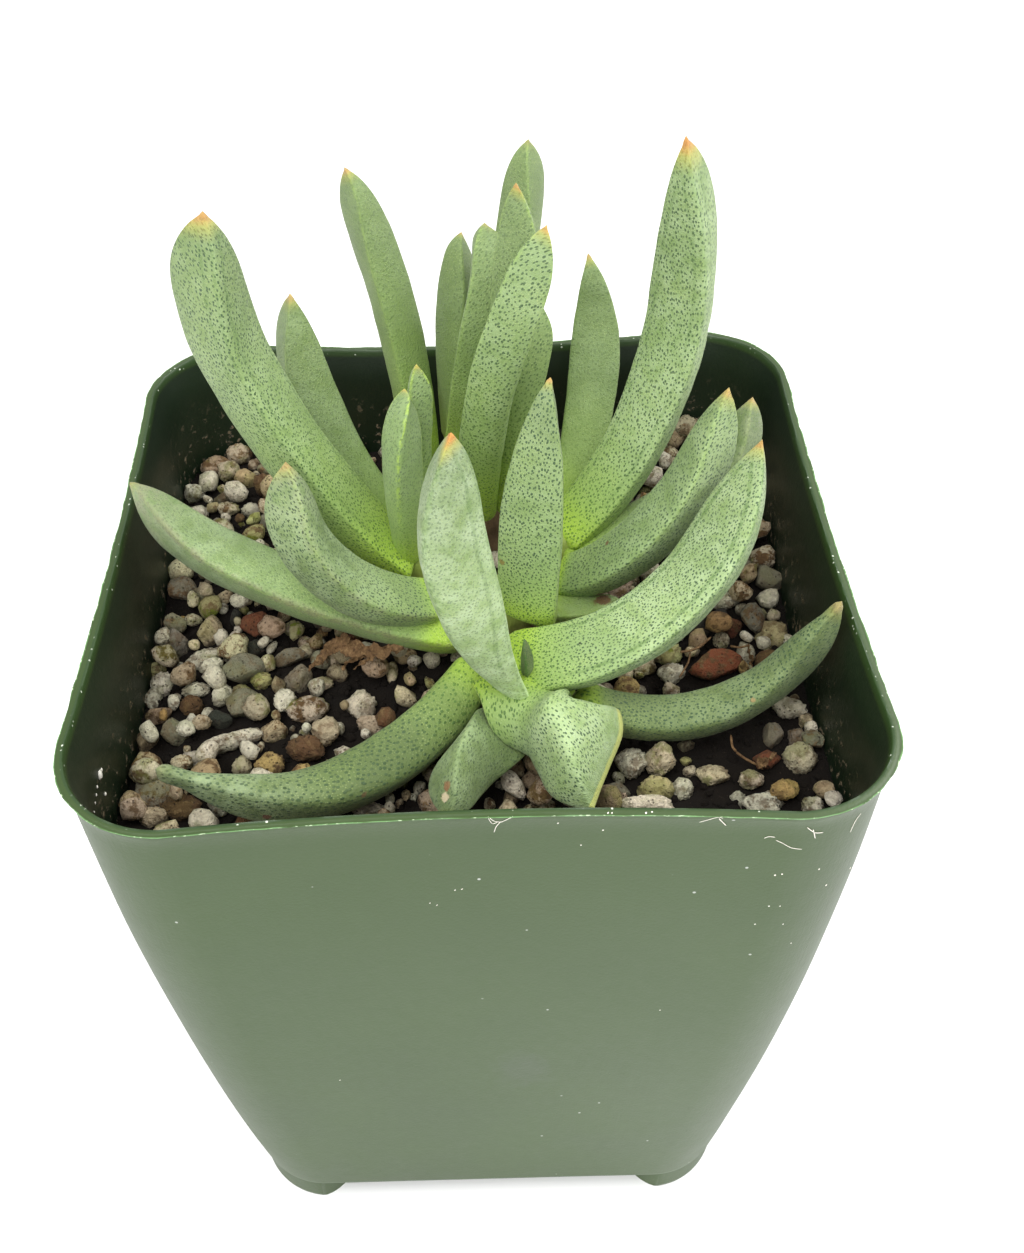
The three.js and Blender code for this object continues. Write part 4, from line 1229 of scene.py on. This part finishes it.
STONES_SEEN = [
    ("bone", 232, 741, 5.4, 2.3, 20), ("cream", 240, 757, 2.0, 2.2, 0), ("cream", 308, 710, 4.0, 2.4, 20),
    ("white", 284, 699, 1.9, 2.5, 0), ("white", 361, 705, 2.9, 2.6, 0), ("tan", 275, 731, 2.5, 1.9, 0),
    ("brown", 306, 749, 4.0, 2.7, -20), ("ochre", 270, 764, 2.6, 2.1, 10), ("pink", 326, 730, 2.7, 2.3, 30),
    ("pink", 372, 726, 2.9, 1.8, -20), ("white", 163, 685, 2.2, 2.4, 0), ("white", 148, 694, 1.7, 2.1, 0),
    ("white", 196, 690, 2.8, 1.7, 10), ("white", 222, 696, 1.8, 2.5, -15), ("olive", 241, 692, 2.0, 1.6, 0),
    ("grey", 243, 707, 3.1, 2.6, 20), ("brown", 191, 706, 2.0, 2.1, 0), ("slate", 218, 716, 2.2, 1.7, 0),
    ("tan", 159, 714, 2.8, 1.6, 20), ("tan", 144, 740, 2.0, 2.3, 0), ("grey", 175, 734, 2.3, 2.6, 0),
    ("white", 186, 728, 1.8, 1.7, 0), ("pink", 204, 734, 1.6, 1.4, 0), ("olive", 262, 681, 1.9, 2.0, 0),
    ("grey", 241, 669, 3.5, 2.8, 20), ("white", 205, 659, 3.4, 2.3, 35), ("white", 212, 673, 2.2, 1.5, 15),
    ("tan", 211, 633, 2.3, 3.2, -15), ("grey", 173, 645, 3.4, 2.8, 0), ("grey", 174, 622, 2.1, 1.9, 0),
    ("white", 163, 637, 1.7, 1.8, 0), ("red", 255, 625, 2.5, 2.6, -35), ("cream", 294, 629, 2.1, 1.8, 0),
    ("white", 272, 648, 0.9, 2.2, -20), ("grey", 288, 659, 3.0, 1.7, 10), ("slate", 252, 647, 2.2, 1.9, 0),
    ("brown", 233, 645, 1.6, 1.3, 0), ("grey", 300, 679, 2.7, 2.4, 20), ("cream", 324, 684, 1.7, 1.5, 0),
    ("olive", 157, 665, 1.7, 1.6, 0), ("tan", 148, 768, 3.2, 2.6, 0), ("grey", 152, 783, 3.4, 2.9, 10),
    ("tan", 131, 809, 2.5, 2.1, 0), ("pink", 153, 817, 2.4, 1.8, 0), ("brown", 180, 805, 3.8, 2.8, 0),
    ("white", 370, 812, 3.2, 1.6, 0), ("cream", 392, 673, 1.1, 2.6, 0), ("grey", 181, 590, 2.7, 2.4, 0),
    ("grey", 200, 598, 2.4, 2.0, 0), ("white", 194, 760, 2.2, 1.6, -30), ("cream", 182, 762, 1.8, 1.8, 0),
    ("cream", 771, 558, 2.9, 3.0, 0), ("grey", 774, 580, 2.6, 2.8, 0), ("white", 725, 601, 2.7, 1.8, 0),
    ("red", 733, 627, 2.2, 2.2, 0), ("cream", 756, 615, 1.9, 1.4, 0), ("olive", 772, 635, 3.5, 2.9, 0),
    ("slate", 699, 627, 3.1, 2.8, 0), ("cream", 721, 639, 1.5, 1.9, 0), ("olive", 667, 654, 2.8, 2.1, 10),
    ("white", 672, 672, 2.3, 2.4, 0), ("red", 714, 667, 4.4, 3.0, 15), ("cream", 641, 666, 2.8, 2.1, 20),
    ("white", 632, 763, 2.6, 3.2, 0), ("cream", 661, 761, 2.9, 3.3, 10), ("grey", 687, 745, 1.5, 1.2, 0),
    ("olive", 686, 761, 0.9, 0.9, 0), ("cream", 690, 772, 1.3, 1.2, 0), ("cream", 713, 775, 2.7, 2.0, -15),
    ("olive", 655, 791, 3.0, 2.7, 0), ("white", 682, 789, 1.8, 2.2, 0), ("cream", 751, 779, 2.3, 2.0, 10),
    ("white", 738, 797, 1.3, 1.1, 0), ("white", 762, 805, 4.0, 2.2, 10), ("ochre", 784, 789, 2.7, 2.0, 15),
    ("cream", 800, 759, 3.0, 2.8, 0), ("white", 813, 805, 2.0, 1.6, 0), ("white", 789, 708, 3.0, 2.2, -15),
    ("cream", 808, 714, 1.4, 1.8, 0), ("grey", 774, 735, 2.0, 2.2, 0), ("grey", 798, 733, 2.0, 1.8, 0),
    ("grey", 812, 738, 1.9, 1.6, 0), ("red", 766, 759, 2.5, 1.5, 15), ("white", 649, 803, 5.0, 1.7, 0),
    ("grey", 616, 791, 2.1, 1.9, 0), ("tan", 536, 780, 2.3, 2.0, 0), ("cream", 543, 792, 2.4, 1.7, 0),
    ("tan", 513, 797, 1.7, 1.6, 0), ("ochre", 579, 809, 1.8, 1.4, 0), ("cream", 437, 775, 2.3, 2.0, 0),
    ("grey", 640, 470, 3.0, 2.4, 30), ("tan", 662, 450, 3.0, 2.4, 20), ("olive", 650, 478, 2.6, 1.6, 30),
    ("tan", 676, 436, 2.8, 2.4, 0), ("cream", 690, 425, 2.8, 2.4, 0), ("grey", 684, 410, 3.2, 2.6, 0),
    ("cream", 702, 404, 3.0, 2.6, 0), ("tan", 668, 420, 2.6, 2.0, 0), ("white", 614, 515, 2.2, 1.4, 20),
    ("tan", 204, 462, 3.0, 2.6, 10), ("cream", 228, 466, 2.6, 2.2, 0), ("grey", 222, 486, 2.4, 2.0, 0),
    ("white", 190, 490, 2.4, 2.0, 0), ("tan", 246, 480, 2.6, 2.0, 0), ("cream", 216, 438, 2.8, 2.4, 0),
    ("white", 251, 510, 2.2, 1.8, 0), ("cream", 228, 506, 2.2, 2.0, 0),
]
STONES_POURED = 980
POURED_SHARES = {
    "white": 28, "cream": 28, "tan": 14, "pink": 9, "grey": 8, "slate": 3, "red": 1, "ochre": 3, "olive": 3,
    "brown": 4}
POURED_RADIUS = (0.5, 1.5)
POUR_TRIES = 9000
POUR_REACH = 29
SPOTS_EACH = 7
STONE_LIMIT = 66.2
STONE_SWELL = 1.05
SHAPES_EACH = 7
FACETS = 12
KNOBS = 6
BARE_PATCHES = [
    # (column and row of its middle, radius, how many of the stones there are left out)
    ((720, 755), 9.0, 0.96), ((640, 760), 6.0, 0.8), ((370, 690), 3.5, 0.95), ((590, 770), 4.0, 0.6),
    ((350, 745), 2.5, 0.8), ((470, 800), 3.0, 0.9),
]
GRIT_SEED = 11

# How high the grit lies in the pot, as a share, and what part of a stone's radius keeps off the wall, off a
# leaf and off another stone, rests above the peat, and rides up on the stone below
GRIT_LEVEL = 0.83
STONE_ROOM = {"wall": 0.9, "leaf": 0.85, "stone": 0.86, "peat": 0.45, "ride": 0.8}
Stone = namedtuple("Stone", "kind form place size turn")


def stone_shape(name, form, dice, divisions):
    """A rough stone about 1 across in each direction from its middle."""
    ball = bmesh.new()
    bmesh.ops.create_icosphere(ball, subdivisions=divisions, radius=1)
    cuts = dice.normal(size=(FACETS, 3))
    cuts /= np.linalg.norm(cuts, axis=1)[:, None]
    offsets = dice.uniform(0.6, 1.0, FACETS)
    lobes = dice.normal(size=(KNOBS, 3))
    lobes /= np.linalg.norm(lobes, axis=1)[:, None]
    drift = Vector(dice.uniform(-50, 50, 3))
    stretch = dice.uniform(0.85, 1.15, 3)
    for vertex in ball.verts:
        way = np.array(vertex.co)
        lump = 1 + 0.35 * noise.noise(vertex.co * 1.3 + drift) + 0.2 * noise.noise(vertex.co * 2.8 + drift)
        rough = 0.1 * noise.noise(vertex.co * 5.5 + drift) + 0.05 * noise.noise(vertex.co * 11 + drift)
        plane = min(np.min(offsets / np.maximum(cuts @ way, 0.3)), 1.1)
        if form == "crushed":
            reach = 0.85 * plane + 0.15 * lump + 0.4 * rough
        elif form == "bone":
            reach = (0.6 + 0.4 * abs(way[0]) ** 1.5) * (0.55 + 0.25 * lump + 0.2 * plane) + rough
        else:
            knob = np.max(0.55 + 0.5 * np.exp(6 * (lobes @ way - 1)))
            reach = 0.4 * plane + 0.25 * lump + 0.35 * knob + 1.3 * rough
        vertex.co = Vector(way * reach * stretch)
    mesh = bpy.data.meshes.new(name)
    ball.to_mesh(mesh)
    ball.free()
    mesh.shade_smooth()
    return bpy.data.objects.new(name, mesh)


def leaf_clearance():
    """Balls along every leaf, as rows of x, y, z and radius."""
    balls = []
    for own in LEAVES.values():
        leaf = {**LEAF_FORM, **own}
        for along in np.linspace(0, TIP_START, 26):
            point, ahead = leaf_curve(leaf, along)
            _, face = leaf_axes(leaf, along, ahead)
            half, keel, _ = leaf_section(leaf, along)
            balls.append((*(point - face * keel * 0.45), min(half, keel * 0.55)))
    for top, radius in SHOOTS.values():
        for z in np.linspace(60, top[2], 6):
            balls.append((top[0], top[1], z, radius))
    return np.array(balls)


class Pour:
    """Stones settling one by one on the peat and on each other."""

    def __init__(self):
        self.stones = np.zeros((0, 4))
        self.leaves = leaf_clearance()

    def rest(self, x, y, radius):
        """The height at which a stone comes to rest there."""
        away = np.hypot(self.stones[:, 0] - x, self.stones[:, 1] - y)
        reach = STONE_ROOM["stone"] * (self.stones[:, 3] + radius)
        near = away < reach
        rise = STONE_ROOM["ride"] * np.sqrt(reach[near] ** 2 - away[near] ** 2)
        on_peat = peat_height(x, y) + STONE_ROOM["peat"] * radius
        return max([on_peat, *(self.stones[near, 2] + rise)])

    def in_leaf(self, x, y, z, radius):
        away = np.linalg.norm(self.leaves[:, :3] - (x, y, z), axis=1)
        return (away < self.leaves[:, 3] + STONE_ROOM["leaf"] * radius).any()

    def in_pot(self, x, y, radius):
        kept_off = STONE_ROOM["wall"] * radius
        half = BASE_HALF + (RIM_HALF - BASE_HALF) * GRIT_LEVEL - WALL - kept_off
        corner = max(BASE_CORNER - WALL - kept_off, 1)
        past = np.maximum(np.abs((x, y)) - (half - corner), 0)
        return np.hypot(*past) < corner

    def add(self, x, y, z, radius):
        self.stones = np.vstack([self.stones, (x, y, z, radius)])


def stone_colour(kind, dice):
    kind = STONE_KINDS[kind]
    light = 1 + kind.spread * dice.uniform(-1.6, 1.2)
    return [channel * light * (1 + 0.25 * kind.spread * dice.normal()) for channel in kind.colour]


def place_seen(pour, dice):
    """The stones that are seen best, each where it shows in the picture."""
    stones = []
    for shape, column, row, long_size, wide_size, turn in STONES_SEEN:
        kind = "white" if shape == "bone" else shape
        form = shape if shape == "bone" else STONE_KINDS[kind].form
        long_size, wide_size = long_size * STONE_SWELL, wide_size * STONE_SWELL
        radius = (long_size + wide_size) / 4
        z = SOIL_TOP + 2
        for _ in range(3):
            x, y = seen_at(column, row, z)
            z = min(pour.rest(x, y, radius * 0.9), STONE_LIMIT)
        while pour.in_leaf(x, y, z, radius * 0.8) and z > SOIL_TOP - 1:
            z -= 0.3
            x, y = seen_at(column, row, z)
        while not pour.in_pot(x, y, radius * 0.85):
            x, y = x * 0.99, y * 0.99
        pour.add(x, y, z, radius)
        size = (long_size / 2, wide_size / 2, min(long_size, wide_size) / 2)
        angle = (dice.uniform(-0.2, 0.2), dice.uniform(-0.2, 0.2), math.radians(turn))
        stones.append(Stone(kind, form, (x, y, z), size, angle))
    return stones


def lowest_place(pour, radius, bare, dice):
    """The lowest of a few spots chosen at random, as z, x, y, or none where all are ruled out."""
    spots = []
    for _ in range(SPOTS_EACH):
        x, y = dice.uniform(-POUR_REACH, POUR_REACH, 2)
        if not pour.in_pot(x, y, radius):
            continue
        if any(math.dist((x, y), spot) < reach and dice.random() < chance for spot, reach, chance in bare):
            continue
        spots.append((pour.rest(x, y, radius), x, y))
    return min(spots, default=None)


def pour_rest(pour, dice):
    """The rest of the stones, which roll into the low places."""
    kinds = list(POURED_SHARES)
    chances = np.array(list(POURED_SHARES.values()), float)
    chances /= chances.sum()
    least, most = POURED_RADIUS
    bare = [(seen_at(*spot, SOIL_TOP), reach, chance) for spot, reach, chance in BARE_PATCHES]
    stones = []
    for _ in range(POUR_TRIES):
        if len(stones) == STONES_POURED:
            break
        radius = least + (most - least) * dice.random() ** 1.6
        place = lowest_place(pour, radius, bare, dice)
        if place is None:
            continue
        z, x, y = place
        if z > STONE_LIMIT - 0.6 * radius or pour.in_leaf(x, y, z, radius):
            continue
        pour.add(x, y, z, radius)
        kind = kinds[dice.choice(len(kinds), p=chances)]
        size = radius * dice.uniform((0.9, 0.8, 0.7), (1.25, 1.05, 0.95))
        stones.append(Stone(kind, STONE_KINDS[kind].form, (x, y, z), size, dice.uniform(0, 6.3, 3)))
    return stones


def stone_tree():
    """A stone of the chosen shape, size, turn and colour on each point."""
    nodes = Grower("stones_on_points", {
        "Points": ("Geometry", None), "Shapes": ("Collection", None), "Finish": ("Material", None)})
    shapes = nodes.add("GeometryNodeCollectionInfo", {}, {
        "Collection": nodes.entry["Shapes"], "Separate Children": True, "Reset Children": True})

    def named(name, kind):
        return nodes.add("GeometryNodeInputNamedAttribute", {"data_type": kind}, {"Name": name}).outputs[0]

    turn, size = named("turn", "FLOAT_VECTOR"), named("size", "FLOAT_VECTOR")
    choice = {"Pick Instance": True, "Instance Index": named("shape", "INT")}
    nodes.strew(nodes.entry["Points"], shapes.outputs[0], choice, nodes.rotation(turn), size)
    return nodes


def lay_stones(name, stones, divisions, dice, tree, material):
    """One mesh of all those stones."""
    forms = sorted({stone.form for stone in stones})
    shapes = bpy.data.collections.new("stone_shapes")
    for form in forms:
        for number in range(SHAPES_EACH):
            shapes.objects.link(stone_shape(f"stone_{form}_{number}", form, dice, divisions))
    mesh = bpy.data.meshes.new(name)
    mesh.from_pydata([[c * MM for c in stone.place] for stone in stones], [], [])
    looks = [forms.index(stone.form) * SHAPES_EACH + dice.integers(SHAPES_EACH) for stone in stones]
    write_values(mesh, "shape", looks, "INT")
    write_values(mesh, "turn", [stone.turn for stone in stones], "FLOAT_VECTOR")
    write_values(mesh, "size", [np.array(stone.size) * MM for stone in stones], "FLOAT_VECTOR")
    write_values(mesh, "tint", [stone_colour(stone.kind, dice) for stone in stones], "FLOAT_VECTOR")
    for key in ("growth", "stain"):
        amounts = [getattr(STONE_KINDS[stone.kind], key) * dice.uniform(0.3, 1.3) for stone in stones]
        write_values(mesh, key, amounts)
    spots = bpy.data.objects.new(name + "_spots", mesh)
    laid = grow(name, spots, tree, {"Shapes": shapes, "Finish": material})
    for thing in [spots, *shapes.objects]:
        bpy.data.objects.remove(thing)
    bpy.data.collections.remove(shapes)
    return laid


def mixed_stone():
    finish = Finish("mixed_stone", {
        "Specular IOR Level": 0.3, "Subsurface Weight": 0.05, "Subsurface Radius": (1, 1, 1),
        "Subsurface Scale": 0.3 * MM})
    place = finish.place()
    tint = finish.add("ShaderNodeAttribute", {"attribute_name": "tint"}).outputs["Vector"]
    growth, stain = finish.attribute("growth"), finish.attribute("stain")
    cloud = finish.noise(place, 0.8, 4, 0.65)
    crust = finish.noise(place, 1.7, 5, 0.75)
    fine = finish.noise(place, 4.0, 4, 0.7)
    z = finish.parts(place)[2]
    finish.colour = finish.vector("SCALE", tint, scale=0.6 + fine * 0.8)
    finish.cover((finish.ramp(cloud, 0.48, 0.62) * stain * 1.3).limit(), (0.15, 0.085, 0.035))
    finish.cover((finish.ramp(crust, 0.53, 0.64) * stain * 1.2).limit(), (0.24, 0.15, 0.065))
    green = finish.noise(place, 0.45, 3, 0.6)
    finish.cover(finish.ramp(green, 0.5, 0.6) * growth, (0.17, 0.20, 0.02))
    # Pits and hollows of the relief are painted dark: painted shade deep in the recesses, and dark grains of
    # peat caught in them
    pit, own = finish.cells(place, 2.6)
    pore = finish.ramp(pit, 0.32, 0.12) * finish.ramp(own, 0.5, 0.7)
    hollow = finish.ramp(crust, 0.42, 0.28)
    finish.cover(finish.maths("MAXIMUM", pore * 0.7, hollow * 0.75), (0.05, 0.034, 0.02))
    # Stones are darker towards the bottom, below 63.8 mm
    darker_low_down = finish.ramp(z, 63.8, 61.9) * finish.ramp(cloud, 0.3, 0.6)
    finish.cover(darker_low_down * 0.65, (0.02, 0.013, 0.008))
    return finish.done(0.8 + fine * 0.15, crust * 1.8 + fine * 0.6 - pore * 0.8, 0.45)


stone_dice = np.random.default_rng(GRIT_SEED)
pour = Pour()
seen_stones = place_seen(pour, stone_dice)
poured_stones = pour_rest(pour, stone_dice)
grit_material = mixed_stone()
stones_tree = stone_tree()
for name, stones, divisions in (("coarse_grit", seen_stones, 4), ("poured_grit", poured_stones, 2)):
    grit = lay_stones(name, stones, divisions, stone_dice, stones_tree, grit_material)
    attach(grit, "root")
    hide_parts("soil")

# Stage: a pale table, a large soft light over the camera's left shoulder and a smaller one to the right.
FLOOR_HALF = 1500
WORLD_LIGHT = 0.82
floor_corners = [(x * FLOOR_HALF, y * FLOOR_HALF, 0) for x, y in ((-1, -1), (1, -1), (1, 1), (-1, 1))]
floor = new_piece("table", floor_corners, [(0, 1, 2, 3)])
white = Finish("pale_table", {"Base Color": (0.86, 0.86, 0.86, 1), "Roughness": 0.8})
floor.data.materials.append(white.material)


def softbox(name, place, aim, size, power):
    """A round lamp of that size at a place, turned towards its aim."""
    light = bpy.data.lights.new(name, "AREA")
    light.shape = "DISK"
    light.size = size * MM
    light.energy = power
    lamp = bpy.data.objects.new(name, light)
    turn = (Vector(aim) - Vector(place)).to_track_quat("-Z", "Y").to_matrix().to_4x4()
    lamp.matrix_world = Matrix.Translation(Vector(place) * MM) @ turn
    bpy.context.scene.collection.objects.link(lamp)


softbox("main_light", (-150, -240, 640), (0, 0, 60), 460, 4.0)
softbox("side_light", (360, 140, 440), (0, 0, 60), 360, 2.2)
softbox("front_light", (40, -620, 330), (0, 0, 20), 420, 2.2)
world = bpy.data.worlds.new("studio")
world.use_nodes = True
sky = world.node_tree.nodes["Background"]
sky.inputs["Color"].default_value = (1, 1, 1, 1)
sky.inputs["Strength"].default_value = WORLD_LIGHT
bpy.context.scene.world = world
bpy.context.scene.view_settings.view_transform = "Standard"
